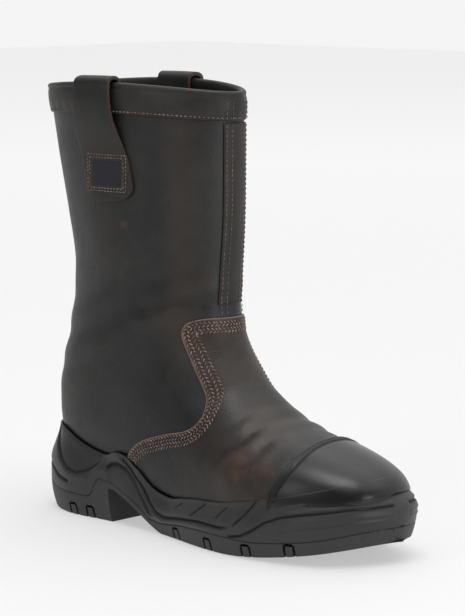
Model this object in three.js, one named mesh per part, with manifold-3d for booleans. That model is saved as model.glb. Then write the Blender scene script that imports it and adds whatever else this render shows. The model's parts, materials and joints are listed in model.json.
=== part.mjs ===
// Pull-on rigger safety boot for the right foot, standing empty on its sole.
// Millimetres. X runs from heel to toe, +Y to the wearer's inner side, +Z up from the floor.
// Every surface of the upper comes from one function, lastPoint, worked out from the section tables.

import * as THREE from 'three';
import { mergeVertices } from 'three/addons/utils/BufferGeometryUtils.js';
import Module from 'manifold-3d';

const wasm = await Module();
wasm.setup();

// Driving sizes of the foot
const foot_length = 302.5;      // upper, from the heel line to the toe
const ball_width = 99;          // upper, across the ball of the foot
const toe_height = 62.3;        // top of the toe above the floor
const throat_height = 158;      // where the instep turns into the shaft
const heel_seat = 37;           // underside of the upper above the floor, at the heel
const ball_seat = 18;           // the same at the ball

// Driving sizes of the shaft
const shaft_height = 303;       // collar's sides above the floor
const collar_length = 164;      // collar, front to back
const collar_width = 79;        // collar, side to side
const collar_dip = 5;           // front and back of the collar below its sides
const shaft_twist = 5;          // degrees, collar turned towards the inner side

// Leather
const wall = 2.2;               // upper with its lining
const vamp_thickness = 1.6;
const strip_thickness = 1.3;
const strip_width = 23;
const band_thickness = 1.2;
const band_height = 20;         // outer leg of the collar binding
const band_inside = 9;          // its inner leg
const clearance = 0.3;          // between pieces that meet

// Pull loops
const loop_width = 30;
const paddle_width = 40;        // flared lower end
const loop_thickness = 2.5;
const loop_drop = 79;           // outer end below the collar
const loop_inside = 38;         // inner end below the collar
const loop_inside_gap = 1;      // inner leg clear of the binding it passes
const loop_rise = 5.8;          // top of the loop above the collar
const loop_standoff = 5.5;      // finger room between loop and shaft
const loop_lean = 12;           // lower end forward of the top

// Sole
const toe_margin = 7.5;         // sole past the upper at the toe
const side_margin = 6;          // sole past the upper at each side of the ball
const toe_spring = 15;          // sole's tip above the floor
const cup_lip = 1.7;            // rubber above the foot's edge, at the sole's top line
const bumper_thickness = 1.8;   // rubber over the toe
const bumper_ridge = 0.7;       // raised edge of the toe bumper
const bumper_ridge_width = 3.6;
const sole_tuck = 4;            // sole's foot inside its widest line
const tuck_height = 22;
const rib_height = 1.1;
const rib_width = 3;
const groove_depth = 1.2;
const groove_width = 2.2;
const tread_depth = 6;
const tread_gap = 6.5;
const waist_web = 4;            // outsole's thickness over the arch
const insole_thickness = 4;
const lasting_margin = 12;      // leather turned in under the foot

const leather_shaft = { color: 0x3f3b37, roughness: 0.55, metalness: 0 };
const leather_vamp = { color: 0x4b433c, roughness: 0.5, metalness: 0 };
const leather_trim = { color: 0x38332f, roughness: 0.55, metalness: 0 };
const rubber_side = { color: 0x353536, roughness: 0.62, metalness: 0 };
const rubber_tread = { color: 0x2c2c2d, roughness: 0.75, metalness: 0 };
const foam_insole = { color: 0x2a2a2c, roughness: 0.9, metalness: 0 };

const sole_length = foot_length + toe_margin;
const sole_width = ball_width + 2 * side_margin;

function table(columns, rows) {
  return rows.map((row) => Object.fromEntries(columns.map((column, i) => [column, row[i]])));
}

// Seat line, the underside of the upper. along: share of foot_length. lift: 0 at ball_seat, 1 at heel_seat.
const SEAT = table(['along', 'height'], [
  [0.000, 1.05], [0.165, 1.00], [0.264, 0.82], [0.347, 0.53], [0.430, 0.21],
  [0.496, 0.08], [0.620, 0.00], [0.800, 0.00], [0.904, 0.10], [1.000, 0.21],
]);

// Foot sections. top and under: ends of each flat section, along as shares of foot_length.
// rise: 0 at toe_height, 1 at throat_height. lift: share of throat_height above the seat line.
// outer and inner: shares of ball_width. widest: share of the way down. powers: roundness of each half.
const FOOT = table(
  ['name', 'top', 'rise', 'under', 'lift', 'outer', 'inner', 'widest', 'top_power', 'under_power'], [
    ['toe_tip', 1.000, 0.000, 1.000, 0.000, 0.405, 0.458, 0.60, 2.3, 3.4],
    ['toe_cap', 0.904, 0.031, 0.904, 0.000, 0.432, 0.472, 0.62, 2.3, 3.6],
    ['tread', 0.799, 0.105, 0.799, 0.000, 0.490, 0.482, 0.64, 2.2, 3.8],
    ['ball', 0.712, 0.199, 0.700, 0.000, 0.512, 0.482, 0.66, 2.2, 4.0],
    ['instep_start', 0.655, 0.305, 0.620, 0.000, 0.482, 0.452, 0.66, 2.1, 4.0],
    ['instep_low', 0.602, 0.454, 0.495, 0.000, 0.442, 0.402, 0.62, 2.1, 4.0],
    ['instep', 0.563, 0.636, 0.347, 0.000, 0.414, 0.374, 0.58, 2.1, 3.6],
    ['instep_high', 0.541, 0.795, 0.172, 0.000, 0.396, 0.366, 0.52, 2.1, 3.2],
    ['heel_base', 0.534, 0.906, 0.056, 0.076, 0.394, 0.374, 0.50, 2.1, 3.0],
    ['heel_back', 0.531, 1.000, 0.036, 0.316, 0.394, 0.384, 0.50, 2.1, 2.8],
  ]);

// Shaft sections. front and back: 0 at the ankle, 1 at the collar.
// front_rise and back_rise: 0 at throat_height, 1 at shaft_height. outer and inner: shares of collar_width.
const SHAFT = table(
  ['name', 'front', 'front_rise', 'back', 'back_rise', 'outer', 'inner', 'widest', 'top_power', 'under_power'], [
    ['ankle', 0.00, 0.062, 0.19, -0.193, 0.494, 0.481, 0.50, 2.1, 2.5],
    ['shaft_low', 0.00, 0.138, 0.00, 0.097, 0.494, 0.481, 0.50, 2.0, 2.2],
    ['shaft_mid', 0.25, 0.372, 0.23, 0.372, 0.500, 0.481, 0.50, 2.0, 2.1],
    ['shaft_high', 0.50, 0.683, 0.65, 0.683, 0.500, 0.487, 0.50, 2.0, 2.0],
    ['collar', 1.00, 1.000, 1.00, 1.000, 0.500, 0.500, 0.50, 1.9, 2.0],
  ]);
const ankle_front = 0.529 * foot_length;
const ankle_back = 0.079 * foot_length;
const collar_centre = 0.2645 * foot_length;
const collar_front = collar_centre + collar_length / 2;
const collar_back = collar_centre - collar_length / 2;

// Roundness of the toe, and where along the shaft its twist and dip come in
const toe_round = 0.205 * foot_length;
const toe_nose = 0.67 * toe_height;
const toe_power = 2.3;
const twist_from = 0.363 * shaft_height;
const twist_to = 0.759 * shaft_height;
const dip_from = 0.66 * shaft_height;

// Sole's plan. along: share of sole_length. across: share of sole_width, negative on the outer side.
const OUTLINE = table(['name', 'along', 'across'], [
  ['heel_back', 0.000, 0.000], ['heel_corner_outer', 0.026, -0.225], ['heel_outer', 0.116, -0.356],
  ['heel_front_outer', 0.258, -0.360], ['waist_outer', 0.394, -0.378], ['ball_outer', 0.639, -0.514],
  ['toe_outer', 0.800, -0.484], ['toe_corner_outer', 0.926, -0.336], ['toe_tip', 1.000, 0.036],
  ['toe_corner_inner', 0.968, 0.288], ['toe_inner', 0.858, 0.441], ['ball_inner', 0.716, 0.486],
  ['waist_front_inner', 0.532, 0.396], ['waist_inner', 0.387, 0.324], ['heel_front_inner', 0.252, 0.333],
  ['heel_inner', 0.116, 0.338], ['heel_corner_inner', 0.026, 0.216],
]);

// Lines on the sole's side. along: share of sole_length. height: share of the seat line's height there.
const CUP_EDGE = table(['along', 'height'], [
  [0.000, 1.62], [0.039, 1.60], [0.077, 1.59], [0.103, 1.54], [0.129, 1.45], [0.166, 1.35], [0.201, 1.31],
  [0.231, 1.32], [0.252, 1.37], [0.282, 1.54], [0.302, 1.61], [0.323, 1.66], [0.347, 1.61], [0.370, 1.55],
  [0.397, 1.35], [0.419, 1.28], [0.455, 1.30], [0.510, 1.50], [0.565, 1.69], [0.642, 1.83], [0.703, 2.00],
  [0.758, 2.17], [0.794, 2.34], [0.855, 2.42], [0.935, 2.48], [1.000, 2.53],
]);
const SPLIT = table(['along', 'height'], [
  [0.000, 0.55], [0.045, 0.53], [0.090, 0.46], [0.145, 0.44], [0.190, 0.43], [0.206, 0.48], [0.219, 0.71],
  [0.235, 0.86], [0.255, 0.87], [0.287, 0.84], [0.332, 0.72], [0.368, 0.56], [0.397, 0.38], [0.429, 0.38],
  [0.468, 0.46], [0.526, 0.62], [0.613, 0.72], [0.671, 0.70], [0.735, 0.67], [0.806, 0.75], [0.887, 0.86],
  [0.968, 1.06], [1.000, 1.13],
]);
const HEEL_LENS = table(['along', 'height'], [
  [0.074, 1.26], [0.100, 1.00], [0.127, 0.86], [0.159, 0.82], [0.190, 0.90], [0.216, 1.05], [0.240, 1.24],
]);
const WAVE_UPPER = table(['along', 'height'], [
  [0.326, 1.52], [0.352, 1.43], [0.377, 1.24], [0.400, 0.95], [0.429, 0.80], [0.458, 0.78], [0.526, 0.93],
  [0.565, 1.02], [0.620, 1.10], [0.690, 1.16],
]);
const WAVE_LOWER = table(['along', 'height'], [
  [0.252, 1.13], [0.272, 1.22], [0.295, 1.31], [0.318, 1.30], [0.340, 1.25], [0.365, 0.99], [0.388, 0.70],
]);
const TOE_SWEEP = table(['along', 'height'], [
  [0.716, 0.82], [0.758, 1.14], [0.784, 1.42], [0.823, 1.70], [0.855, 1.80],
]);
const TOE_STEPS = [
  table(['along', 'height'], [[0.800, 1.66], [0.855, 1.92], [0.935, 2.08], [1.000, 2.10]]),
  table(['along', 'height'], [[0.850, 1.62], [0.900, 1.74], [0.952, 1.80], [1.000, 1.80]]),
  table(['along', 'height'], [[0.877, 1.30], [0.920, 1.42], [0.952, 1.46], [1.000, 1.46]]),
];
const PANEL_GROOVES = [
  table(['along', 'height'], [[0.496, 1.14], [0.518, 1.38]]),
  table(['along', 'height'], [[0.562, 1.14], [0.600, 1.62]]),
  table(['along', 'height'], [[0.647, 1.24], [0.678, 1.76]]),
  table(['along', 'height'], [[0.697, 1.16], [0.725, 1.56], [0.754, 2.02]]),
];
const ARCH = table(['along', 'height'], [
  [0.266, 0.72], [0.280, 0.74], [0.306, 0.69], [0.332, 0.58], [0.368, 0.39], [0.394, 0.20], [0.413, 0.07],
]);
const breast_at = 0.2645;       // heel's front face, share of sole_length
const arch_end = 0.428;         // where the forefoot meets the floor
const spring_from = 0.66;       // where the toe leaves the floor
const tread_outer_slots = [0.145, 0.200, 0.497, 0.616, 0.732, 0.839, 0.925];
const tread_channels = [        // long channels under the forefoot and heel
  { from: 0.47, to: 0.90, across: -0.17 }, { from: 0.47, to: 0.90, across: 0.15 },
  { from: 0.04, to: 0.23, across: -0.02 },
];

// Rear edge of the vamp from the sole up to the throat. along: share of foot_length. up: share of throat_height.
const VAMP_EDGE = table(['along', 'up'], [
  [0.330, 0.285], [0.337, 0.316], [0.354, 0.354], [0.383, 0.392], [0.430, 0.424], [0.476, 0.449],
  [0.522, 0.468], [0.552, 0.500], [0.565, 0.544], [0.562, 0.589], [0.542, 0.652], [0.519, 0.709],
  [0.496, 0.772], [0.476, 0.829], [0.469, 0.873], [0.476, 0.905], [0.496, 0.924], [0.519, 0.930],
  [0.560, 0.930],
]);
// Rear edge of the toe bumper, the same way
const BUMPER_EDGE = table(['along', 'up'], [
  [0.778, 0.180], [0.788, 0.300], [0.800, 0.345], [0.810, 0.385], [0.815, 0.430], [0.815, 0.600],
]);
const bumper_turn = 7;          // degrees, bumper's edge turned square to the toe

// Pull loop down its outer leg. drop: share of loop_drop. lean, flare and stand: shares of their own sizes.
const LOOP = table(['drop', 'lean', 'flare', 'end', 'stand'], [
  [0.00, 0.00, 0.00, 1.00, 0.85], [0.12, 0.02, 0.10, 1.00, 1.00], [0.28, 0.08, 0.30, 1.00, 0.85],
  [0.42, 0.20, 0.60, 1.00, 0.45], [0.56, 0.42, 0.90, 1.00, 0.10], [0.66, 0.62, 1.00, 1.00, 0.00],
  [0.84, 0.86, 1.00, 1.00, 0.00], [0.95, 0.97, 1.00, 0.88, 0.00], [1.00, 1.00, 1.00, 0.55, 0.00],
]);
const loop_at = 0.245 * foot_length;

// Grid steps
const around = 24;
const toe_steps = 6;
const body_steps = 17;

// Offsets of the layers from the upper's outer face
const vamp_face = clearance + vamp_thickness;
const cup_room = vamp_face + clearance;
const heel_reach = clearance + cup_lip + 0.5;
const cup_reach = cup_room + cup_lip;
const bumper_face = cup_room + bumper_thickness;
const beyond = 400;             // past every piece, for cutting shapes

// Smooth curve through table rows, flat at its highest and lowest rows
function follow(rows, along, column = 'height') {
  const last = rows.length - 1;
  if (along <= rows[0].along) return rows[0][column];
  if (along >= rows[last].along) return rows[last][column];
  const i = rows.findIndex((row) => row.along > along) - 1;
  const slope = (a) => (rows[a + 1][column] - rows[a][column]) / (rows[a + 1].along - rows[a].along);
  const bend = (a) => {
    if (a === 0) return slope(0);
    if (a === last) return slope(last - 1);
    const left = slope(a - 1);
    const right = slope(a);
    return left * right <= 0 ? 0 : (2 * left * right) / (left + right);
  };
  const width = rows[i + 1].along - rows[i].along;
  const t = (along - rows[i].along) / width;
  const t2 = t * t;
  const t3 = t2 * t;
  return (2 * t3 - 3 * t2 + 1) * rows[i][column] + (t3 - 2 * t2 + t) * width * bend(i)
    + (3 * t2 - 2 * t3) * rows[i + 1][column] + (t3 - t2) * width * bend(i + 1);
}

function mix(a, b, share) {
  return a + (b - a) * share;
}

function smooth(value) {
  const t = Math.min(1, Math.max(0, value));
  return t * t * (3 - 2 * t);
}

function seatHeight(x) {
  return mix(ball_seat, heel_seat, follow(SEAT, x / foot_length));
}

function sideHeight(rows, x) {
  return follow(rows, x / sole_length) * seatHeight(x);
}

// Floor line of the sole, with its toe spring
function baseHeight(x) {
  const share = (x / sole_length - spring_from) / (1 - spring_from);
  return toe_spring * Math.max(0, share) ** 1.6;
}

// Section rows in millimetres: front x and z, back x and z, outer, inner, widest and both powers
const sections = [
  ...FOOT.map((row) => {
    const under = row.under * foot_length;
    return [row.top * foot_length, mix(toe_height, throat_height, row.rise), under,
      seatHeight(under) + row.lift * throat_height, row.outer * ball_width, row.inner * ball_width,
      row.widest, row.top_power, row.under_power];
  }),
  ...SHAFT.map((row) => [
    mix(ankle_front, collar_front, row.front), mix(throat_height, shaft_height, row.front_rise),
    mix(ankle_back, collar_back, row.back), mix(throat_height, shaft_height, row.back_rise),
    row.outer * collar_width, row.inner * collar_width, row.widest, row.top_power, row.under_power,
  ]),
];
const rows_end = sections.length - 1;

function sectionAt(s) {
  const i = Math.min(Math.floor(s), rows_end - 1);
  const t = s - i;
  const t2 = t * t;
  const t3 = t2 * t;
  const before = sections[Math.max(i - 1, 0)];
  const after = sections[Math.min(i + 2, rows_end)];
  return sections[i].map((here, k) => {
    const next = sections[i + 1][k];
    const leave = i > 0 ? (next - before[k]) / 2 : next - here;
    const arrive = i + 2 <= rows_end ? (after[k] - here) / 2 : next - here;
    return (2 * t3 - 3 * t2 + 1) * here + (t3 - 2 * t2 + t) * leave
      + (3 * t2 - 2 * t3) * next + (t3 - t2) * arrive;
  });
}

// Point of the upper's form. s: section row, 0 at the toe. v: 0 top or front, a quarter turn outer side,
// half a turn underside or back. offset: outward from the upper's outer face.
function lastPoint(s, v, offset) {
  const [front_x, front_z, back_x, back_z, outer, inner, widest, top_power, under_power] = sectionAt(s);
  const from_tip = Math.min(1, Math.max(0, (foot_length - front_x) / toe_round));
  const round = (1 - (1 - from_tip) ** toe_power) ** (1 / toe_power);
  const top = mix(toe_nose, front_z, from_tip < 1 ? round : 1);
  const under = mix(toe_nose, back_z, from_tip < 1 ? round : 1);
  const length = Math.hypot(back_x - front_x, under - top);
  const step_x = length > 0.001 ? (back_x - front_x) / length : 0;
  const step_z = length > 0.001 ? (under - top) / length : -1;
  const reach = offset * round;
  const down = Math.cos(v);
  const side = Math.sin(v);
  const start = -reach;
  const end = length + reach;
  const middle = mix(start, end, widest);
  const depth = down >= 0
    ? middle - (middle - start) * down ** (2 / top_power)
    : middle + (end - middle) * (-down) ** (2 / under_power);
  const half = (side >= 0 ? outer : inner) * round + reach;
  const power = down >= 0 ? top_power : under_power;
  const x = front_x + step_x * depth + offset * Math.sqrt(1 - round * round);
  const y = -Math.sign(side) * half * Math.abs(side) ** (2 / power);
  const z = top + step_z * depth;
  const dip = Math.min(1, Math.max(0, (z - dip_from) / (shaft_height - dip_from))) ** 2;
  const turn = THREE.MathUtils.degToRad(shaft_twist) * smooth((z - twist_from) / (twist_to - twist_from));
  const away = x - collar_centre;
  return new THREE.Vector3(
    collar_centre + away * Math.cos(turn) - y * Math.sin(turn),
    away * Math.sin(turn) + y * Math.cos(turn),
    z - dip * collar_dip * down * down,
  );
}

const last_stations = [];
for (let i = 1; i <= toe_steps; i += 1) {
  last_stations.push(2 * (1 - Math.cos((Math.PI / 2) * (i / toe_steps))));
}
for (let i = 1; i <= body_steps; i += 1) {
  last_stations.push(mix(2, rows_end, i / body_steps));
}
const last_turns = Array.from({ length: around }, (_, i) => (2 * Math.PI * i) / around);

// Closed solids from points

function manifoldOf(points, triangles) {
  const positions = new Float32Array(points.length * 3);
  points.forEach((point, i) => point.toArray(positions, i * 3));
  return new wasm.Manifold(new wasm.Mesh({
    numProp: 3, vertProperties: positions, triVerts: new Uint32Array(triangles.flat()),
  }));
}

function manifoldOfGeometry(geometry) {
  geometry.deleteAttribute('normal');
  geometry.deleteAttribute('uv');
  const merged = mergeVertices(geometry, 1e-4);
  return new wasm.Manifold(new wasm.Mesh({
    numProp: 3,
    vertProperties: new Float32Array(merged.attributes.position.array),
    triVerts: new Uint32Array(merged.index.array),
  }));
}

// Rings of points joined in order. The first and last rings are closed by a middle point each.
function stackSolid(rings) {
  const count = rings[0].length;
  const points = rings.flat();
  const triangles = [];
  const middle = (ring) => ring.reduce((sum, p) => sum.add(p), new THREE.Vector3()).divideScalar(count);
  const first = points.push(middle(rings[0])) - 1;
  const last = points.push(middle(rings[rings.length - 1])) - 1;
  const top = (rings.length - 1) * count;
  for (let i = 0; i < count; i += 1) {
    const j = (i + 1) % count;
    triangles.push([first, i, j], [last, top + j, top + i]);
    for (let r = 0; r < rings.length - 1; r += 1) {
      const a = r * count;
      const b = a + count;
      triangles.push([a + i, b + i, a + j], [a + j, b + i, b + j]);
    }
  }
  return turnedOut(points, triangles);
}

// Rings joined in order, the last to the first, as a closed hoop
function hoopSolid(rings) {
  const count = rings[0].length;
  const points = rings.flat();
  const triangles = [];
  rings.forEach((ring, r) => {
    const a = r * count;
    const b = ((r + 1) % rings.length) * count;
    ring.forEach((point, i) => {
      const j = (i + 1) % count;
      triangles.push([a + i, b + i, a + j], [a + j, b + i, b + j]);
    });
  });
  return turnedOut(points, triangles);
}

function turnedOut(points, triangles) {
  let volume = 0;
  triangles.forEach(([a, b, c]) => {
    volume += points[a].dot(new THREE.Vector3().crossVectors(points[b], points[c]));
  });
  const faces = volume < 0 ? triangles.map(([a, b, c]) => [a, c, b]) : triangles;
  return manifoldOf(points, faces);
}

// Plate between two grids of points of the same size, front and back
function plateSolid(front, back) {
  const rings = front.map((row, r) => [...row, ...[...back[r]].reverse()]);
  return stackSolid(rings);
}

// Straight prism on a closed outline. place(a, b, c): a point from outline (a, b) and distance c.
function prism(outline, from, to, place) {
  const shape = new THREE.Shape(outline.map(([a, b]) => new THREE.Vector2(a, b)));
  const geometry = new THREE.ExtrudeGeometry(shape, { depth: to - from, bevelEnabled: false });
  const position = geometry.attributes.position;
  for (let i = 0; i < position.count; i += 1) {
    const [x, y, z] = place(position.getX(i), position.getY(i), position.getZ(i) + from);
    position.setXYZ(i, x, y, z);
  }
  return manifoldOfGeometry(geometry);
}

const sidePrism = (outline, from = -beyond, to = beyond) => prism(outline, from, to, (a, b, c) => [a, -c, b]);
const planPrism = (outline, from, to) => prism(outline, from, to, (a, b, c) => [a, b, c]);
const frontPrism = (outline, from, to) => prism(outline, from, to, (a, b, c) => [c, a, b]);

// The upper's form as a solid, grown by offset. Its collar is carried up by extra.
function lastSolid(offset, extra = 0) {
  const tip = lastPoint(0, 0, offset);
  const rings = last_stations.map((s) => last_turns.map((v) => lastPoint(s, v, offset)));
  if (extra > 0) {
    rings.push(rings[rings.length - 1].map((point) => point.clone().add(new THREE.Vector3(0, 0, extra))));
  }
  const count = around;
  const points = [tip, ...rings.flat()];
  const triangles = [];
  const cap = rings[rings.length - 1];
  const middle = cap.reduce((sum, p) => sum.add(p), new THREE.Vector3()).divideScalar(count);
  const last = points.push(middle) - 1;
  const top = 1 + (rings.length - 1) * count;
  for (let i = 0; i < count; i += 1) {
    const j = (i + 1) % count;
    triangles.push([0, 1 + i, 1 + j], [last, top + j, top + i]);
    for (let r = 0; r < rings.length - 1; r += 1) {
      const a = 1 + r * count;
      const b = a + count;
      triangles.push([a + i, b + i, a + j], [a + j, b + i, b + j]);
    }
  }
  return turnedOut(points, triangles);
}

// Sole outline: position and outward direction at t, from 0 at the heel by the outer side to the toe and back
const outline_curve = new THREE.CatmullRomCurve3(
  OUTLINE.map((row) => new THREE.Vector3(row.along * sole_length, row.across * sole_width, 0)),
  true, 'centripetal',
);

function outlineAt(t) {
  const at = outline_curve.getPoint(t);
  const way = outline_curve.getTangent(t);
  return { at, out: new THREE.Vector3(way.y, -way.x, 0).normalize() };
}

function bisect(low, high, isPast) {
  let a = low;
  let b = high;
  for (let i = 0; i < 40; i += 1) {
    const middle = (a + b) / 2;
    if (isPast(middle)) b = middle;
    else a = middle;
  }
  return (a + b) / 2;
}

const toe_row = OUTLINE.findIndex((row) => row.name === 'toe_tip');
const toe_turn = bisect((toe_row - 0.9) / OUTLINE.length, (toe_row + 0.9) / OUTLINE.length,
  (t) => outline_curve.getTangent(t).x < 0);
const heel_turn = bisect(-0.9 / OUTLINE.length, 0.9 / OUTLINE.length,
  (t) => outline_curve.getTangent((t + 1) % 1).x > 0);

function turnAt(x, side) {
  const ahead = (t) => outline_curve.getPoint((t + 1) % 1).x > x;
  return side === 'outer'
    ? bisect(heel_turn, toe_turn, ahead)
    : bisect(toe_turn, 1 + heel_turn, (t) => !ahead(t));
}

// Stations along the sole: close together at both ends and at each row of the split line
function soleStations() {
  const steps = 24;
  const shares = Array.from({ length: steps - 1 }, (_, i) => (1 - Math.cos((Math.PI * (i + 1)) / steps)) / 2);
  const wanted = [...SPLIT.slice(1, -1).map((row) => row.along), ...shares];
  const kept = [];
  wanted.forEach((share) => {
    if (kept.every((other) => Math.abs(other - share) * sole_length > 2.4)) kept.push(share);
  });
  return kept.sort((a, b) => a - b).map((share) => share * sole_length);
}

const heel_x = outline_curve.getPoint((heel_turn + 1) % 1).x;
const tip_x = outline_curve.getPoint(toe_turn).x;
const station_xs = soleStations();
const sole_ring = [
  { x: heel_x, t: (heel_turn + 1) % 1 },
  ...station_xs.map((x) => ({ x, t: turnAt(x, 'outer') })),
  { x: tip_x, t: toe_turn },
  ...[...station_xs].reverse().map((x) => ({ x, t: turnAt(x, 'inner') % 1 })),
];

// Where the upper's form, grown to the cup's edge, is met from outside at a height
function surfaceMesh(offset) {
  const mesh = lastSolid(offset).getMesh();
  const geometry = new THREE.BufferGeometry();
  geometry.setAttribute('position', new THREE.BufferAttribute(new Float32Array(mesh.vertProperties), 3));
  geometry.setIndex(new THREE.BufferAttribute(new Uint32Array(mesh.triVerts), 1));
  return new THREE.Mesh(geometry, new THREE.MeshBasicMaterial({ side: THREE.DoubleSide }));
}

const heel_surface = surfaceMesh(heel_reach);
const foot_surface = surfaceMesh(cup_reach);
const start_out = 40;

function insetToUpper(t, x, z) {
  const { at, out } = outlineAt(t);
  const origin = at.clone().addScaledVector(out, start_out).setZ(z);
  const distance = (mesh) => {
    const hits = new THREE.Raycaster(origin, out.clone().negate()).intersectObject(mesh);
    return hits.length > 0 ? hits[0].distance - start_out : 0;
  };
  const forward = smooth((x / sole_length - 0.27) / 0.1);
  return mix(distance(heel_surface), distance(foot_surface), forward);
}

// Point on the sole's side wall at height z, proud of it by out_by
function wallPoint(t, x, z, out_by = 0) {
  const low = sideHeight(SPLIT, x);
  const edge = sideHeight(CUP_EDGE, x);
  const tuck = sole_tuck * Math.max(0, 1 - (z - baseHeight(x)) / tuck_height) ** 2;
  const lean = smooth(((z - low) / (edge - low) - 0.35) / 0.65);
  const inset = lean > 0 ? mix(tuck, insetToUpper(t, x, edge), lean) : tuck;
  const { at, out } = outlineAt(t);
  return at.clone().addScaledVector(out, out_by - inset).setZ(z);
}

// Solid between two height lines of the sole, its wall following wallPoint at the given shares
function soleLayer(lowAt, highAt, shares) {
  const count = sole_ring.length;
  const half = station_xs.length;
  const points = [];
  shares.forEach((share) => {
    sole_ring.forEach(({ x, t }) => points.push(wallPoint(t, x, mix(lowAt(x), highAt(x), share))));
  });
  const triangles = [];
  for (let r = 0; r < shares.length - 1; r += 1) {
    for (let i = 0; i < count; i += 1) {
      const j = (i + 1) % count;
      const a = r * count;
      const b = a + count;
      triangles.push([a + i, a + j, b + i], [a + j, b + j, b + i]);
    }
  }
  const top = (shares.length - 1) * count;
  for (let i = 0; i <= half; i += 1) {
    const near = i;
    const far = (count - i) % count;
    const near_next = i + 1;
    const far_next = count - i - 1;
    if (near !== far) {
      triangles.push([far, near_next, near], [top + near, top + near_next, top + far]);
    }
    if (near_next !== far_next) {
      triangles.push([far, far_next, near_next], [top + near_next, top + far_next, top + far]);
    }
  }
  return turnedOut(points, triangles);
}

// Bar along a line of the sole's side, from depth inside the wall to height outside it
function sideBar(rows, side, steps, inner_depth, outer_height, width, wide_foot = 1.4) {
  const from = rows[0].along * sole_length;
  const to = rows[rows.length - 1].along * sole_length;
  const path = Array.from({ length: steps + 1 }, (_, i) => {
    const x = mix(from, to, i / steps);
    return { x, t: turnAt(x, side) % 1, z: sideHeight(rows, x) };
  });
  return barSolid(path, inner_depth, outer_height, width, wide_foot);
}

// Bar round the toe from one side to the other
function toeBar(rows, steps, inner_depth, outer_height, width) {
  const from = turnAt(rows[0].along * sole_length, 'outer');
  const to = turnAt(rows[0].along * sole_length, 'inner');
  const path = Array.from({ length: steps + 1 }, (_, i) => {
    const t = mix(from, to, i / steps);
    const { x } = outline_curve.getPoint(t);
    return { x, t, z: sideHeight(rows, x) };
  });
  return barSolid(path, inner_depth, outer_height, width, 1.4);
}

function barSolid(path, inner_depth, outer_height, width, wide_foot) {
  const centres = path.map(({ x, t, z }) => wallPoint(t, x, z));
  const rings = path.map(({ t }, i) => {
    const way = centres[Math.min(i + 1, path.length - 1)].clone().sub(centres[Math.max(i - 1, 0)]).normalize();
    const { out } = outlineAt(t);
    const up = new THREE.Vector3().crossVectors(way, out).normalize();
    const corner = (a, b) => centres[i].clone().addScaledVector(up, a).addScaledVector(out, b);
    const foot = (width / 2) * wide_foot;
    const crown = (width / 2) * 0.7;
    return [corner(-foot, -inner_depth), corner(foot, -inner_depth), corner(crown, outer_height),
      corner(-crown, outer_height)];
  });
  return stackSolid(rings);
}

// Outline moved out by distance, corner by corner
function grown(outline, distance) {
  const count = outline.length;
  let area = 0;
  outline.forEach(([a, b], i) => {
    const [c, d] = outline[(i + 1) % count];
    area += a * d - c * b;
  });
  const turn = Math.sign(area);
  return outline.map(([a, b], i) => {
    const before = outline[(i + count - 1) % count];
    const after = outline[(i + 1) % count];
    const one = new THREE.Vector2(b - before[1], before[0] - a).normalize();
    const two = new THREE.Vector2(after[1] - b, a - after[0]).normalize();
    const out = one.add(two).normalize().multiplyScalar(turn * distance);
    return [a + out.x, b + out.y];
  });
}

function vampOutline(grow) {
  const edge = VAMP_EDGE.map((row) => [row.along * foot_length, row.up * throat_height]);
  const top = edge[edge.length - 1][1];
  const lap = 3;
  const under = SEAT.filter((row) => row.along > 0.34).reverse()
    .map((row) => [row.along * foot_length, seatHeight(row.along * foot_length) + lap]);
  return grown([...edge, [beyond, top], [beyond, under[0][1]], ...under, [edge[0][0], under.at(-1)[1] + lap]],
    grow);
}

function buildUpper() {
  const hollow = lastSolid(-wall, band_thickness + beyond / 10);
  const floor_outline = Array.from({ length: 40 }, (_, i) => {
    const { at, out } = outlineAt(i / 40);
    at.addScaledVector(out, -(side_margin + lasting_margin));
    return [at.x, at.y];
  });
  const floor_opening = planPrism(floor_outline, -beyond, heel_seat + wall + insole_thickness);
  return lastSolid(0).subtract(hollow).subtract(floor_opening);
}

function buildVamp() {
  return lastSolid(vamp_face).subtract(lastSolid(clearance)).intersect(sidePrism(vampOutline(0)));
}

// Leather binding folded over the collar, its rim clear of the upper's edge
function buildCollarBand() {
  const outer = clearance + band_thickness;
  const inner = -(wall + clearance + band_thickness);
  const leg = [
    [outer, band_height], [outer, -clearance], [outer * 0.5, -clearance - band_thickness],
    [inner * 0.75, -clearance - band_thickness], [inner, -clearance], [inner, band_inside],
    [inner + band_thickness, band_inside], [inner + band_thickness, -clearance],
    [clearance, -clearance], [clearance, band_height],
  ];
  const rings = last_turns.map((v) => leg.map(([offset, drop]) => shaftPoint(drop, v, offset)));
  return hoopSolid(rings);
}

// Point of the shaft's form, drop below the collar, or above it where drop is negative
function shaftPoint(drop, v, offset) {
  const level = (s) => lastPoint(s, Math.PI / 2, 0).z;
  const s = drop <= 0 ? rows_end : bisect(rows_end - 4, rows_end, (at) => level(at) > shaft_height - drop);
  const point = lastPoint(s, v, offset);
  point.z += Math.max(0, -drop);
  return point;
}

function buildFrontStrip() {
  const steps = 12;
  const low = 0.93 * throat_height + clearance;
  const high = shaft_height - collar_dip - band_height - clearance;
  const centre = (z) => (ankle_front - collar_centre)
    * Math.sin(THREE.MathUtils.degToRad(shaft_twist) * smooth((z - twist_from) / (twist_to - twist_from)));
  const heights = Array.from({ length: steps + 1 }, (_, i) => mix(low, high, i / steps));
  const outline = [
    ...heights.map((z) => [centre(z) + strip_width / 2, z]),
    ...[...heights].reverse().map((z) => [centre(z) - strip_width / 2, z]),
  ];
  return lastSolid(clearance + strip_thickness, 1).subtract(lastSolid(clearance, 2))
    .intersect(frontPrism(outline, collar_centre, beyond));
}

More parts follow.
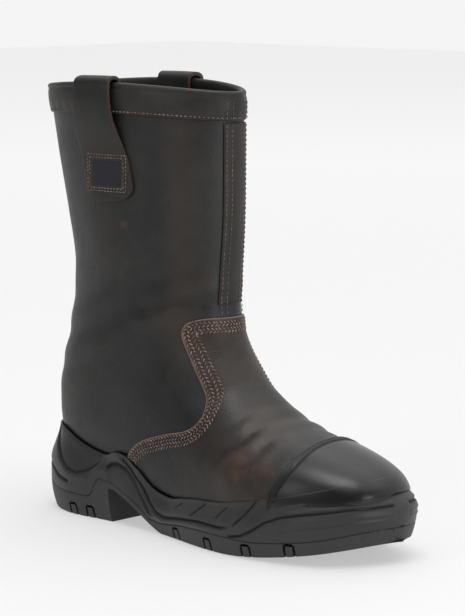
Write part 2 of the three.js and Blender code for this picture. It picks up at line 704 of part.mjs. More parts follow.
// Strap from inside the shaft, over the collar and down to its stitched paddle
function buildLoop(side) {
  const columns = 5;
  const quarter = side === 'outer' ? Math.PI / 2 : (3 * Math.PI) / 2;
  const direction = side === 'outer' ? -1 : 1;
  const half = loop_thickness / 2;
  const seated = -(wall + 2 * clearance + half);
  const passing = -(wall + clearance + band_thickness + loop_inside_gap + half);
  const outside = clearance + half;
  const rim_outside = outside + LOOP[0].stand * loop_standoff;
  const crown = loop_rise - half;
  const path = [];
  [loop_inside, mix(band_inside, loop_inside, 0.3)].forEach((drop) => {
    path.push({ offset: seated, drop, out: -1, up: 0, row: LOOP[0] });
  });
  [band_inside + clearance, 0].forEach((drop) => {
    path.push({ offset: passing, drop, out: -1, up: 0, row: LOOP[0] });
  });
  const arc_steps = 7;
  for (let i = 1; i < arc_steps; i += 1) {
    const turn = Math.PI * (1 - i / arc_steps);
    const reach = (rim_outside - passing) / 2;
    path.push({
      offset: passing + reach + reach * Math.cos(turn), drop: -crown * Math.sin(turn) ** 0.8,
      out: Math.cos(turn), up: Math.sin(turn), row: LOOP[0],
    });
  }
  LOOP.forEach((row) => {
    path.push({ offset: outside + row.stand * loop_standoff, drop: row.drop * loop_drop, out: 1, up: 0, row });
  });
  const grid = (push) => path.map(({ offset, drop, out, up, row }) => {
    const width = mix(loop_width, paddle_width, row.flare) * row.end;
    const middle_x = loop_at + row.lean * loop_lean;
    return Array.from({ length: columns }, (_, i) => {
      const x = middle_x + width * (i / (columns - 1) - 0.5);
      const ahead = (v) => shaftPoint(Math.max(0, drop), v, 0).x > x;
      const v = side === 'outer'
        ? bisect(quarter - 1, quarter + 1, (at) => !ahead(at))
        : bisect(quarter - 1, quarter + 1, ahead);
      return shaftPoint(drop - push * up, v, offset + push * out);
    });
  });
  const outer_face = grid(half);
  const inner_face = grid(-half);
  return direction < 0 ? plateSolid(outer_face, inner_face) : plateSolid(inner_face, outer_face);
}

function buildInsole() {
  const under = wall + clearance;
  const steps = 24;
  const xs = Array.from({ length: steps + 1 }, (_, i) => mix(-0.1, 1.1, i / steps) * foot_length);
  const outline = [
    ...xs.map((x) => [x, -beyond]),
    ...[...xs].reverse().map((x) => [x, seatHeight(x) + under + insole_thickness]),
  ];
  return lastSolid(-under).intersect(sidePrism(outline));
}

function buildMidsole() {
  const body = soleLayer((x) => sideHeight(SPLIT, x) + clearance, (x) => sideHeight(CUP_EDGE, x),
    [0, 0.35, 0.7, 1]);
  const edge = BUMPER_EDGE.map((row) => [row.along * foot_length, row.up * throat_height]);
  const ahead = (from, to) => {
    const back = edge.map(([x, z]) => [x + from, z]);
    const front = [...edge].reverse().map(([x, z]) => [to === null ? beyond : x + to, z]);
    return turnedAtToe(sidePrism([...back, ...front]));
  };
  const dome = lastSolid(bumper_face).intersect(ahead(0, null));
  const ridge = lastSolid(bumper_face + bumper_ridge).intersect(ahead(0, bumper_ridge_width));
  const ribs = ['outer', 'inner'].flatMap((side) => [
    sideBar(HEEL_LENS, side, 7, 1.6, rib_height, rib_width),
    sideBar(WAVE_UPPER, side, 12, 1.6, rib_height, rib_width),
    sideBar(WAVE_LOWER, side, 9, 1.6, rib_height, rib_width),
    sideBar(TOE_SWEEP, side, 4, 1.6, rib_height, rib_width),
  ]);
  TOE_STEPS.forEach((rows) => ribs.push(toeBar(rows, 11, 1.6, rib_height, rib_width)));
  const grooves = ['outer', 'inner'].flatMap((side) => PANEL_GROOVES
    .map((rows) => sideBar(rows, side, 2, groove_depth, 2, groove_width, 0.8)));
  const room = lastSolid(cup_room).intersect(sidePrism(vampOutline(clearance)));
  let solid = body.add(dome).add(ridge);
  ribs.forEach((rib) => { solid = solid.add(rib); });
  grooves.forEach((groove) => { solid = solid.subtract(groove); });
  return solid.subtract(lastSolid(clearance)).subtract(room);
}

// Turned about the toe's middle so that the bumper's edge stands square to it
function turnedAtToe(solid) {
  const pivot = BUMPER_EDGE[BUMPER_EDGE.length - 1].along * foot_length;
  return solid.translate([-pivot, 0, 0]).rotate([0, 0, bumper_turn]).translate([pivot, 0, 0]);
}

function buildOutsole() {
  let solid = soleLayer(baseHeight, (x) => sideHeight(SPLIT, x), [0, 0.35, 0.7, 1]);
  const breast = breast_at * sole_length;
  const arch = [
    [breast, -beyond], [breast, ARCH[0].height * seatHeight(breast) - waist_web / 2],
    ...ARCH.map((row) => {
      const x = row.along * sole_length;
      return [x, Math.min(row.height * seatHeight(x), sideHeight(SPLIT, x) - waist_web)];
    }),
    [arch_end * sole_length, 0], [arch_end * sole_length, -beyond],
  ];
  solid = solid.subtract(sidePrism(arch));
  tread_outer_slots.forEach((along) => {
    const x = along * sole_length;
    const slot = [
      [x - tread_gap / 2, -beyond], [x + tread_gap / 2, -beyond],
      [x + tread_gap * 0.4, baseHeight(x) + tread_depth], [x - tread_gap * 0.4, baseHeight(x) + tread_depth],
    ];
    solid = solid.subtract(sidePrism(slot));
  });
  tread_channels.forEach(({ from, to, across }) => {
    const steps = 10;
    const xs = Array.from({ length: steps + 1 }, (_, i) => mix(from, to, i / steps) * sole_length);
    const outline = [
      ...xs.map((x) => [x, -beyond]),
      ...[...xs].reverse().map((x) => [x, baseHeight(x) + tread_depth * 0.8]),
    ];
    const middle = -across * sole_width;
    solid = solid.subtract(sidePrism(outline, middle - tread_gap / 2, middle + tread_gap / 2));
  });
  return solid;
}

function meshOf(name, solid, look) {
  const { vertProperties, triVerts } = solid.getMesh();
  const geometry = new THREE.BufferGeometry();
  geometry.setAttribute('position', new THREE.BufferAttribute(new Float32Array(vertProperties), 3));
  geometry.setIndex(new THREE.BufferAttribute(new Uint32Array(triVerts), 1));
  const mesh = new THREE.Mesh(geometry, new THREE.MeshStandardMaterial({ ...look, flatShading: true }));
  mesh.name = name;
  return mesh;
}

const boot = new THREE.Group();
boot.name = 'rigger_safety_boot';
boot.add(
  meshOf('upper', buildUpper(), leather_shaft),
  meshOf('vamp', buildVamp(), leather_vamp),
  meshOf('collar_band', buildCollarBand(), leather_trim),
  meshOf('front_strip', buildFrontStrip(), leather_trim),
  meshOf('pull_loop_outer', buildLoop('outer'), leather_trim),
  meshOf('pull_loop_inner', buildLoop('inner'), leather_trim),
  meshOf('insole', buildInsole(), foam_insole),
  meshOf('midsole', buildMidsole(), rubber_side),
  meshOf('outsole', buildOutsole(), rubber_tread),
);

// Origin: on the floor, under the middle of the boot
const bounds = new THREE.Box3().setFromObject(boot);
boot.position.set(-(bounds.min.x + bounds.max.x) / 2, -(bounds.min.y + bounds.max.y) / 2, -bounds.min.z);

export default boot;
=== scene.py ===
# %% [markdown]
# # A pull-on safety boot in Blender
# A rigger boot is a tall leather shaft with no laces, a stitched-on vamp over the front of the foot,
# two straps to pull it on with, and a rubber sole moulded up over the toe. This lesson dresses the plain
# solids of such a boot. They come in as a fixed frame, and every new piece is built over them.

# %% Load the fixed frame
import json
import math

import bmesh
import bpy
import numpy as np
from mathutils import Matrix, Vector
from mathutils.bvhtree import BVHTree

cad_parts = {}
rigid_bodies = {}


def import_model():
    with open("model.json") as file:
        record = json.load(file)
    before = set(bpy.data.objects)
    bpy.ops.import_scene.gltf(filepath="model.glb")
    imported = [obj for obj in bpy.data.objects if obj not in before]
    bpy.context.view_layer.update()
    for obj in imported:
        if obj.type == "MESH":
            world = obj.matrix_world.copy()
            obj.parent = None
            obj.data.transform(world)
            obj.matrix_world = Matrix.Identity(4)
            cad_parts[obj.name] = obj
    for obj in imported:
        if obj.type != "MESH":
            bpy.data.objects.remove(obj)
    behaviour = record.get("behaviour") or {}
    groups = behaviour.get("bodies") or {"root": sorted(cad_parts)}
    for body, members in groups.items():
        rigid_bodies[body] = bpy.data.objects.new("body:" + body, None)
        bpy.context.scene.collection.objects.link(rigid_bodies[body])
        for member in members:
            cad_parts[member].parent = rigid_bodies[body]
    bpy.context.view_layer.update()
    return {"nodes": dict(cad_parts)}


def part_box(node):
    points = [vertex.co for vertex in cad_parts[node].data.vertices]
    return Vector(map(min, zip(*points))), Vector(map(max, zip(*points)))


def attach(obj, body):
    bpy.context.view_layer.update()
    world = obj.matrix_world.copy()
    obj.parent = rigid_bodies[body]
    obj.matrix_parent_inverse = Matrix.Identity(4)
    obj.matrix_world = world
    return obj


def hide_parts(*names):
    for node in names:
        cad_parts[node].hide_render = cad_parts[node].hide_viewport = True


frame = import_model()
print("frame holds", sorted(frame["nodes"]))

# %% [markdown]
# ## The last
# A shoemaker stretches the leather over a last, a form with the shape of the foot and leg. Here the last is
# a row of sections, the toe first and the collar at the end, with a smooth curve through them. Each leather
# layer is this form grown by a fraction of a millimetre, so layers can't cut through each other. All sizes
# are in millimetres from the back of the heel: x to the toe, y to the inner side, z up from the floor.

# %% Sizes of the boot
FOOT_LENGTH, BALL_WIDTH, TOE_HEIGHT, THROAT_HEIGHT = 302.5, 99.0, 62.3, 158.0
HEEL_SEAT, BALL_SEAT = 37.0, 18.0
SHAFT_HEIGHT, COLLAR_LENGTH, COLLAR_WIDTH = 303.0, 164.0, 79.0
COLLAR_DIP, SHAFT_TWIST = 5.0, math.radians(5)
WALL, CLEARANCE = 2.2, 0.3
COLLAR_CENTRE = 0.2645 * FOOT_LENGTH
ANKLE_FRONT, ANKLE_BACK = 0.529 * FOOT_LENGTH, 0.079 * FOOT_LENGTH
SOLE_LENGTH, SOLE_WIDTH = FOOT_LENGTH + 7.5, BALL_WIDTH + 12.0
ORIGIN = np.array([-153.912, 1.858, 0.0])


def metres(points):
    """Points of the boot in millimetres, in the frame's place and in metres."""
    return (np.asarray(points, float) + ORIGIN) / 1000


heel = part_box("outsole")[0]
print("heel line off the frame by %.3f mm" % (1000 * (heel.x - metres([0, 0, 0])[0])))

# %% A smooth curve through a short table
def follow(rows, at):
    """Value at `at` on a curve through (place, value) rows, level at its highest and lowest rows."""
    places, values = np.array(rows, float).T
    at = np.clip(np.asarray(at, float), places[0], places[-1])
    width = np.diff(places)
    slope = np.diff(values) / width
    both = slope[:-1] * slope[1:]
    bend = np.concatenate([slope[:1], np.where(both > 0, 2 * both / np.where(
        both > 0, slope[:-1] + slope[1:], 1), 0), slope[-1:]])
    i = np.clip(np.searchsorted(places, at, side="right") - 1, 0, len(width) - 1)
    t = (at - places[i]) / width[i]
    return ((2 * t**3 - 3 * t**2 + 1) * values[i] + (t**3 - 2 * t**2 + t) * width[i] * bend[i]
            + (3 * t**2 - 2 * t**3) * values[i + 1] + (t**3 - t**2) * width[i] * bend[i + 1])


def mix(a, b, share):
    return a + (b - a) * share


def smooth(value):
    t = np.clip(value, 0, 1)
    return t * t * (3 - 2 * t)


SEAT = [(0, 1.05), (0.165, 1), (0.264, 0.82), (0.347, 0.53), (0.43, 0.21), (0.496, 0.08), (0.62, 0),
        (0.8, 0), (0.904, 0.1), (1, 0.21)]


def seat_height(x):
    return mix(BALL_SEAT, HEEL_SEAT, follow(SEAT, np.asarray(x) / FOOT_LENGTH))


print("seat under the heel %.1f mm, under the ball %.1f mm" % (seat_height(20), seat_height(210)))

# %% Sections of the last
# top, rise, under, lift, outer, inner, widest, top power, under power
FOOT = [
    (1.000, 0.000, 1.000, 0.000, 0.405, 0.458, 0.60, 2.3, 3.4),
    (0.904, 0.031, 0.904, 0.000, 0.432, 0.472, 0.62, 2.3, 3.6),
    (0.799, 0.105, 0.799, 0.000, 0.490, 0.482, 0.64, 2.2, 3.8),
    (0.712, 0.199, 0.700, 0.000, 0.512, 0.482, 0.66, 2.2, 4.0),
    (0.655, 0.305, 0.620, 0.000, 0.482, 0.452, 0.66, 2.1, 4.0),
    (0.602, 0.454, 0.495, 0.000, 0.442, 0.402, 0.62, 2.1, 4.0),
    (0.563, 0.636, 0.347, 0.000, 0.414, 0.374, 0.58, 2.1, 3.6),
    (0.541, 0.795, 0.172, 0.000, 0.396, 0.366, 0.52, 2.1, 3.2),
    (0.534, 0.906, 0.056, 0.076, 0.394, 0.374, 0.50, 2.1, 3.0),
    (0.531, 1.000, 0.036, 0.316, 0.394, 0.384, 0.50, 2.1, 2.8),
]
# front, front rise, back, back rise, outer, inner, widest, top power, under power
SHAFT = [
    (0.00, 0.062, 0.19, -0.193, 0.494, 0.481, 0.50, 2.1, 2.5),
    (0.00, 0.138, 0.00, 0.097, 0.494, 0.481, 0.50, 2.0, 2.2),
    (0.25, 0.372, 0.23, 0.372, 0.500, 0.481, 0.50, 2.0, 2.1),
    (0.50, 0.683, 0.65, 0.683, 0.500, 0.487, 0.50, 2.0, 2.0),
    (1.00, 1.000, 1.00, 1.000, 0.500, 0.500, 0.50, 1.9, 2.0),
]


def section_rows():
    rows = []
    for top, rise, under, lift, outer, inner, *rest in FOOT:
        x = under * FOOT_LENGTH
        rows.append([top * FOOT_LENGTH, mix(TOE_HEIGHT, THROAT_HEIGHT, rise), x,
                     seat_height(x) + lift * THROAT_HEIGHT, outer * BALL_WIDTH, inner * BALL_WIDTH, *rest])
    for front, front_rise, back, back_rise, outer, inner, *rest in SHAFT:
        rows.append([mix(ANKLE_FRONT, COLLAR_CENTRE + COLLAR_LENGTH / 2, front),
                     mix(THROAT_HEIGHT, SHAFT_HEIGHT, front_rise),
                     mix(ANKLE_BACK, COLLAR_CENTRE - COLLAR_LENGTH / 2, back),
                     mix(THROAT_HEIGHT, SHAFT_HEIGHT, back_rise),
                     outer * COLLAR_WIDTH, inner * COLLAR_WIDTH, *rest])
    return np.array(rows, float)


SECTIONS = section_rows()
COLLAR_ROW = len(SECTIONS) - 1


def section_at(s):
    i = np.minimum(np.floor(s).astype(int), COLLAR_ROW - 1)
    t = (s - i)[..., None]
    here, after = SECTIONS[i], SECTIONS[i + 1]
    leave = np.where((i > 0)[..., None], (after - SECTIONS[np.maximum(i - 1, 0)]) / 2, after - here)
    arrive = np.where((i + 2 <= COLLAR_ROW)[..., None],
                      (SECTIONS[np.minimum(i + 2, COLLAR_ROW)] - here) / 2, after - here)
    return ((2 * t**3 - 3 * t**2 + 1) * here + (t**3 - 2 * t**2 + t) * leave
            + (3 * t**2 - 2 * t**3) * after + (t**3 - t**2) * arrive)


print(len(SECTIONS), "sections from toe to collar")

# %% Point of the last
TOE_ROUND, TOE_NOSE, TOE_POWER = 0.205 * FOOT_LENGTH, 0.67 * TOE_HEIGHT, 2.3


def last_point(s, v, offset):
    """Point at section s and turn v (0 front or top, a quarter turn outer side), offset outwards."""
    s, v, offset = np.broadcast_arrays(np.asarray(s, float), v, offset)
    front_x, front_z, back_x, back_z, outer, inner, widest, top_power, under_power = np.moveaxis(
        section_at(s), -1, 0)
    from_tip = np.clip((FOOT_LENGTH - front_x) / TOE_ROUND, 0, 1)
    rounding = (1 - (1 - from_tip) ** TOE_POWER) ** (1 / TOE_POWER)
    top = mix(TOE_NOSE, front_z, rounding)
    under = mix(TOE_NOSE, back_z, rounding)
    length = np.hypot(back_x - front_x, under - top)
    safe = np.maximum(length, 0.001)
    step_x = np.where(length > 0.001, (back_x - front_x) / safe, 0)
    step_z = np.where(length > 0.001, (under - top) / safe, -1)
    reach = offset * rounding
    down, side = np.cos(v), np.sin(v)
    middle = mix(-reach, length + reach, widest)
    depth = np.where(down >= 0,
                     middle - (middle + reach) * np.abs(down) ** (2 / top_power),
                     middle + (length + reach - middle) * np.abs(down) ** (2 / under_power))
    half = np.where(side >= 0, outer, inner) * rounding + reach
    power = np.where(down >= 0, top_power, under_power)
    x = front_x + step_x * depth + offset * np.sqrt(1 - rounding * rounding)
    y = -np.sign(side) * half * np.abs(side) ** (2 / power)
    z = top + step_z * depth
    dip = np.clip((z / SHAFT_HEIGHT - 0.66) / 0.34, 0, 1) ** 2
    turn = SHAFT_TWIST * smooth((z / SHAFT_HEIGHT - 0.363) / 0.396)
    away = x - COLLAR_CENTRE
    return np.stack([COLLAR_CENTRE + away * np.cos(turn) - y * np.sin(turn),
                     away * np.sin(turn) + y * np.cos(turn),
                     z - dip * COLLAR_DIP * down * down], -1)


print("toe tip at", last_point(0.0, 0.0, 0.0).round(1), "collar front at", last_point(14.0, 0.0, 0.0).round(1))

# %% [markdown]
# ## Even steps over the last
# Equal steps of the section number and of the turn would crowd the faces at the toe and starve the sides.
# Two tables of lengths, one along the boot and one round each section, turn even shares into those numbers,
# so the faces of every layer come out nearly square.

# %% Even shares along and round the last
S_TABLE = np.linspace(0, COLLAR_ROW, 15 * 20 + 1)
ROUND_STEPS = 24
V_FINE = np.linspace(0, 2 * np.pi, 4 * 90 + 1)


def table_of_turns():
    grid = last_point(S_TABLE[:, None] + 1e-4 * (S_TABLE[:, None] < 0.001), V_FINE[None], 0.0)
    steps = np.linalg.norm(np.diff(grid, axis=1), axis=2)
    turns = np.zeros((len(S_TABLE), 4 * ROUND_STEPS + 1))
    for quarter in range(4):
        part = np.concatenate([np.zeros((len(S_TABLE), 1)),
                               np.cumsum(steps[:, quarter * 90:(quarter + 1) * 90], axis=1)], axis=1)
        fine = V_FINE[quarter * 90:(quarter + 1) * 90 + 1]
        for row, lengths in enumerate(part):
            wanted = np.linspace(0, lengths[-1], ROUND_STEPS + 1)
            turns[row, quarter * ROUND_STEPS:(quarter + 1) * ROUND_STEPS + 1] = np.interp(
                wanted, lengths, fine)
    return turns


TURNS = table_of_turns()


def turn_at(s, share):
    """Turn v at an even share (0 to 1) of the way round section s."""
    row = np.clip(np.asarray(s) / COLLAR_ROW, 0, 1) * (len(S_TABLE) - 1)
    column = np.mod(share, 1.0) * 4 * ROUND_STEPS
    r0, c0 = np.minimum(row.astype(int), len(S_TABLE) - 2), np.minimum(column.astype(int), 4 * ROUND_STEPS - 1)
    a, b = row - r0, column - c0
    return mix(mix(TURNS[r0, c0], TURNS[r0 + 1, c0], a), mix(TURNS[r0, c0 + 1], TURNS[r0 + 1, c0 + 1], a), b)


def lengths_along():
    sides = last_point(S_TABLE[:, None], np.array([[0, 0.5, 1, 1.5]]) * np.pi, 0.0)
    steps = np.linalg.norm(np.diff(sides, axis=0), axis=2).mean(1)
    return np.concatenate([[0], np.cumsum(steps)])


ALONG = lengths_along()


def section_share(share):
    """Section number at an even share of the way from toe to collar."""
    return np.interp(np.asarray(share) * ALONG[-1], ALONG, S_TABLE)


print("toe to collar is %.0f mm along the form" % ALONG[-1])

# %% [markdown]
# ## Creases
# Leather keeps the folds of the ankle and the ball of the foot. Each crease below is a line drawn on the
# side of the boot with a depth and a width: a soft trough with a low ridge beside it. A few long, very
# shallow swells down the shaft make the broad bands of light that oiled leather shows. Every layer and every
# stitch reads the same function, so they all bend together.

# %% Troughs and ridges
# line in (x, z), side (-1 outer, 1 inner, 0 both), depth, half width
CREASES = [
    ([(26, 126), (52, 131), (86, 146), (120, 166), (150, 176)], 0, 1.3, 8.0),
    ([(30, 148), (60, 156), (96, 172), (132, 190)], 0, 0.9, 9.0),
    ([(22, 104), (44, 108), (70, 118)], 0, 0.8, 7.0),
    ([(112, 152), (140, 158), (166, 160)], 0, 1.0, 5.0),
    ([(150, 104), (166, 98), (186, 92)], 0, 0.6, 7.0),
    ([(196, 62), (208, 74), (214, 88)], 0, 0.8, 4.5),
    ([(212, 54), (222, 66), (226, 80)], 0, 0.7, 4.0),
    ([(180, 66), (194, 80), (202, 94)], -1, 0.5, 5.0),
]
# place round the shaft (share), height, swell, reach round, reach up
SWELLS = [
    (0.115, 235, 1.3, 0.045, 70), (0.185, 200, -1.1, 0.05, 80), (0.30, 240, 0.7, 0.06, 70),
    (0.36, 180, -0.9, 0.06, 50), (0.10, 150, 1.0, 0.04, 40), (0.43, 225, 0.6, 0.05, 60),
    (0.62, 200, -0.8, 0.07, 70), (0.78, 230, 0.8, 0.06, 60), (0.88, 190, -0.9, 0.05, 60),
]


def line_distance(x, z, line):
    """Distance from points to a drawn line, and how far along it (0 to 1) they are nearest."""
    best = np.full(x.shape, 1e9)
    place = np.zeros(x.shape)
    for i, ((ax, az), (bx, bz)) in enumerate(zip(line, line[1:])):
        dx, dz = bx - ax, bz - az
        t = np.clip(((x - ax) * dx + (z - az) * dz) / (dx * dx + dz * dz), 0, 1)
        d = np.hypot(x - ax - t * dx, z - az - t * dz)
        place = np.where(d < best, (i + t) / (len(line) - 1), place)
        best = np.minimum(best, d)
    return best, place


def relief(points, share):
    """Height of the creases and swells at points of the last, in millimetres."""
    x, y, z = np.moveaxis(points, -1, 0)
    height = np.zeros(x.shape)
    for line, side, depth, width in CREASES:
        d, place = line_distance(x, z, line)
        fade = smooth(place * 4) * smooth((1 - place) * 4) if side else smooth((1 - place) * 3)
        trough = -np.exp(-(d / width) ** 2) + 0.45 * np.exp(-((d - 2 * width) / width) ** 2)
        on_side = 1.0 if side == 0 else smooth(0.5 + side * y / 16)
        height += depth * trough * fade * on_side
    for at, level, swell, round_reach, up_reach in SWELLS:
        around = (np.mod(share - at + 0.5, 1) - 0.5) / round_reach
        height += swell * np.exp(-around**2 - ((z - level) / up_reach) ** 2)
    quiet = smooth((z - seat_height(x) - 22) / 20) * smooth((SHAFT_HEIGHT - z) / 20) * smooth((262 - x) / 30)
    return height * quiet


def form(s, share, offset):
    """Point of a leather layer: the last, its creases, and the layer's offset."""
    v = turn_at(s, share)
    base = last_point(s, v, 0.0)
    return last_point(s, v, offset + relief(base, np.mod(share, 1.0)))


s_try, a_try = np.meshgrid(section_share(np.linspace(0, 1, 60)), np.linspace(0, 1, 40))
r_try = relief(last_point(s_try, turn_at(s_try, a_try), 0.0), a_try)
print("creases and swells run from %.1f to %.1f mm" % (r_try.min(), r_try.max()))

# %% [markdown]
# ## Pieces from one grid
# A flat grid from `bmesh.ops.create_grid` is the start of each sheet. Its two coordinates are shares of the
# way round and along a piece, and each vertex moves to the place that a shape function gives for them. Where
# the grid's edges meet, as down the back of the shaft or at the tip of the toe, they are merged. The piece
# is then turned so that its faces look outwards.

# %% Helpers that make and finish a piece
def turn_outwards(bm, centre):
    total = 0.0
    for face in bm.faces:
        total += (face.calc_center_median() - centre).dot(face.normal) * face.calc_area()
    if total < 0:
        bmesh.ops.reverse_faces(bm, faces=bm.faces)


def finished(bm, name, nodes, materials, values=None, smooth_faces=True):
    """The mesh as a piece of the boot that rides on the frame, with its finish."""
    mesh = bpy.data.meshes.new(name)
    bm.to_mesh(mesh)
    bm.free()
    for material in materials:
        mesh.materials.append(material)
    mesh.polygons.foreach_set("use_smooth", [smooth_faces] * len(mesh.polygons))
    piece = bpy.data.objects.new(name, mesh)
    bpy.context.scene.collection.objects.link(piece)
    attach(piece, "root")
    if nodes:
        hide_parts(*nodes)
    print("%s: %d faces" % (name, len(mesh.polygons)))
    return piece


def grid_mesh(across, along, shape, values=None):
    """A grid of shares moved onto a shape. values(u, w) gives named numbers kept on its points."""
    bm = bmesh.new()
    bmesh.ops.create_grid(bm, x_segments=across, y_segments=along, size=0.5)
    shares = np.array([v.co for v in bm.verts])[:, :2] + 0.5
    for vertex, point in zip(bm.verts, metres(shape(shares[:, 0], shares[:, 1]))):
        vertex.co = point
    if values:
        for key, numbers in values(shares[:, 0], shares[:, 1]).items():
            layer = bm.verts.layers.float.new(key)
            for vertex, number in zip(bm.verts, numbers):
                vertex[layer] = number
    bmesh.ops.remove_doubles(bm, verts=bm.verts, dist=2e-6)
    bm.normal_update()
    return bm


def thicken(piece, thickness, offset=-1.0, inner=0, rim=0):
    solid = piece.modifiers.new("thickness", "SOLIDIFY")
    solid.thickness = thickness / 1000
    solid.offset = offset
    solid.use_even_offset = True
    solid.material_offset = inner
    solid.material_offset_rim = rim
    return solid

# %% [markdown]
# ## How each finish is made
# A material is a small chain of nodes. One function adds a node, sets it and joins its inputs; another turns
# the sRGB hex codes that people read off a picture into the linear colours that Blender works with. Patterns
# read Object coordinates, which are metres here, so a pattern's scale is one over its real size in metres.

# %% One function for nodes and one for colours
def add(tree, kind, inputs=None, **settings):
    """One node with its settings. Each input is a value or another node's output."""
    made = tree.nodes.new(kind)
    for key, value in settings.items():
        setattr(made, key, value)
    for key, value in (inputs or {}).items():
        if isinstance(value, bpy.types.NodeSocket):
            tree.links.new(value, made.inputs[key])
        else:
            made.inputs[key].default_value = value
    return made


def colour(code):
    """sRGB hex such as 3a3735 as a linear colour."""
    shares = [int(code[i:i + 2], 16) / 255 for i in (0, 2, 4)]
    return tuple(c / 12.92 if c <= 0.04045 else ((c + 0.055) / 1.055) ** 2.4 for c in shares) + (1.0,)


def per_mm(size):
    """Scale of a pattern whose features are about `size` millimetres."""
    return 1000.0 / size


def new_material(name):
    material = bpy.data.materials.new(name)
    material.use_nodes = True
    tree = material.node_tree
    place = add(tree, "ShaderNodeTexCoord").outputs["Object"]
    return material, tree, tree.nodes["Principled BSDF"], place


def two_colours(tree, factor, first, second, low=0.35, high=0.65):
    """A soft change from one colour to another as factor goes from low to high."""
    ramp = add(tree, "ShaderNodeValToRGB", {"Fac": factor})
    ramp.color_ramp.elements[0].position, ramp.color_ramp.elements[0].color = low, first
    ramp.color_ramp.elements[1].position, ramp.color_ramp.elements[1].color = high, second
    return ramp.outputs["Color"]


print("colour 808080 is %.3f linear" % colour("808080")[0])

# %% [markdown]
# ## Oiled pull-up leather
# Full-grain cowhide is drum-dyed nearly black, then stuffed with oil and wax. The wax gives a low satin sheen.
# Where the hide is stretched over a bend the oil moves away, and the brown of the crust shows through in
# clouds. Knocks leave pale rusty rubs. The grain's pores are about 0.4 mm; at a millimetre to the pixel that
# is too fine, so the bump uses 1.3 mm.

# %% Leather
def oiled_leather(name, dark, cloud, cloud_low, cloud_high, gloss):
    material, tree, skin, place = new_material(name)
    clouds = add(tree, "ShaderNodeTexNoise", {"Vector": place, "Scale": per_mm(62), "Detail": 3.0,
                                              "Roughness": 0.55, "Distortion": 0.6})
    mottle = add(tree, "ShaderNodeTexNoise", {"Vector": place, "Scale": per_mm(9), "Detail": 4.0})
    base = two_colours(tree, clouds.outputs["Fac"], colour(dark), colour(cloud), cloud_low, cloud_high)
    deeper = add(tree, "ShaderNodeMix", {0: 0.4, 6: base, 7: two_colours(
        tree, mottle.outputs["Fac"], (0.55, 0.55, 0.55, 1), (1.3, 1.28, 1.25, 1))},
        data_type="RGBA", blend_type="MULTIPLY")
    stretch = add(tree, "ShaderNodeAttribute", attribute_name="stretch").outputs["Fac"]
    pulled = add(tree, "ShaderNodeMix", {0: stretch, 6: deeper.outputs[2], 7: colour("3d322a")},
                 data_type="RGBA")
    # Painted shade: patches kept on the leather mix its colour towards near black.
    painted_shade_mask = add(tree, "ShaderNodeAttribute", attribute_name="painted_shade").outputs["Fac"]
    shaded_colour = add(tree, "ShaderNodeMix", {0: painted_shade_mask, 6: pulled.outputs[2], 7: colour("101011")}, data_type="RGBA")
    rubs = add(tree, "ShaderNodeTexNoise", {"Vector": place, "Scale": per_mm(17), "Detail": 5.0,
                                            "Roughness": 0.62, "Distortion": 1.2})
    rubbed = add(tree, "ShaderNodeAttribute", attribute_name="rub").outputs["Fac"]
    where = add(tree, "ShaderNodeMath", {0: rubs.outputs["Fac"], 1: rubbed}, operation="MULTIPLY")
    amount = add(tree, "ShaderNodeMapRange", {"Value": where.outputs[0], "From Min": 0.3, "From Max": 0.62,
                                              "To Min": 0.0, "To Max": 0.55})
    worn = add(tree, "ShaderNodeMix", {0: amount.outputs[0], 6: shaded_colour.outputs[2], 7: colour("553c31")},
               data_type="RGBA")
    raw = add(tree, "ShaderNodeAttribute", attribute_name="raw").outputs["Fac"]
    edged = add(tree, "ShaderNodeMix", {0: raw, 6: worn.outputs[2], 7: colour("8a6f58")}, data_type="RGBA")
    tree.links.new(edged.outputs[2], skin.inputs["Base Color"])
    sheen = add(tree, "ShaderNodeMapRange", {"Value": mottle.outputs["Fac"], "From Min": 0.3, "From Max": 0.7,
                                             "To Min": gloss, "To Max": gloss + 0.1})
    tree.links.new(sheen.outputs[0], skin.inputs["Roughness"])
    pores = add(tree, "ShaderNodeTexVoronoi", {"Vector": place, "Scale": per_mm(1.3)})
    folds = add(tree, "ShaderNodeTexNoise", {"Vector": place, "Scale": per_mm(5), "Detail": 5.0,
                                             "Roughness": 0.6})
    soft = add(tree, "ShaderNodeBump", {"Height": folds.outputs["Fac"], "Strength": 0.25, "Distance": 0.0009})
    fine = add(tree, "ShaderNodeBump", {"Height": pores.outputs["Distance"], "Strength": 0.35,
                                        "Distance": 0.00025, "Normal": soft.outputs[0]})
    tree.links.new(fine.outputs[0], skin.inputs["Normal"])
    skin.inputs["Specular IOR Level"].default_value = 0.36
    return material


SHAFT_LEATHER = oiled_leather("oiled_shaft_leather", "181818", "262524", 0.4, 0.7, 0.4)
VAMP_LEATHER = oiled_leather("oiled_vamp_leather", "181716", "352d28", 0.38, 0.66, 0.4)
TRIM_LEATHER = oiled_leather("oiled_trim_leather", "1a1918", "2a2624", 0.42, 0.7, 0.43)

# %% [markdown]
# ## Cut edges, lining, thread
# A knife-cut leather edge shows the fibrous core: tan on the vamp, dyed red-brown on the straps. The shaft is
# lined with a dark fabric. The seams are sewn with a thick bonded thread of rust and tan, twisted from three
# plies.

# %% Cut edges, lining, thread
def fibrous(name, dark, light, size, roughness, depth):
    """A matt material of short fibres, for cut edges and fabrics."""
    material, tree, skin, place = new_material(name)
    fibres = add(tree, "ShaderNodeTexNoise", {"Vector": place, "Scale": per_mm(size), "Detail": 4.0,
                                              "Roughness": 0.7})
    tree.links.new(two_colours(tree, fibres.outputs["Fac"], colour(dark), colour(light)),
                   skin.inputs["Base Color"])
    bump = add(tree, "ShaderNodeBump", {"Height": fibres.outputs["Fac"], "Strength": 0.5, "Distance": depth})
    tree.links.new(bump.outputs[0], skin.inputs["Normal"])
    skin.inputs["Roughness"].default_value = roughness
    return material


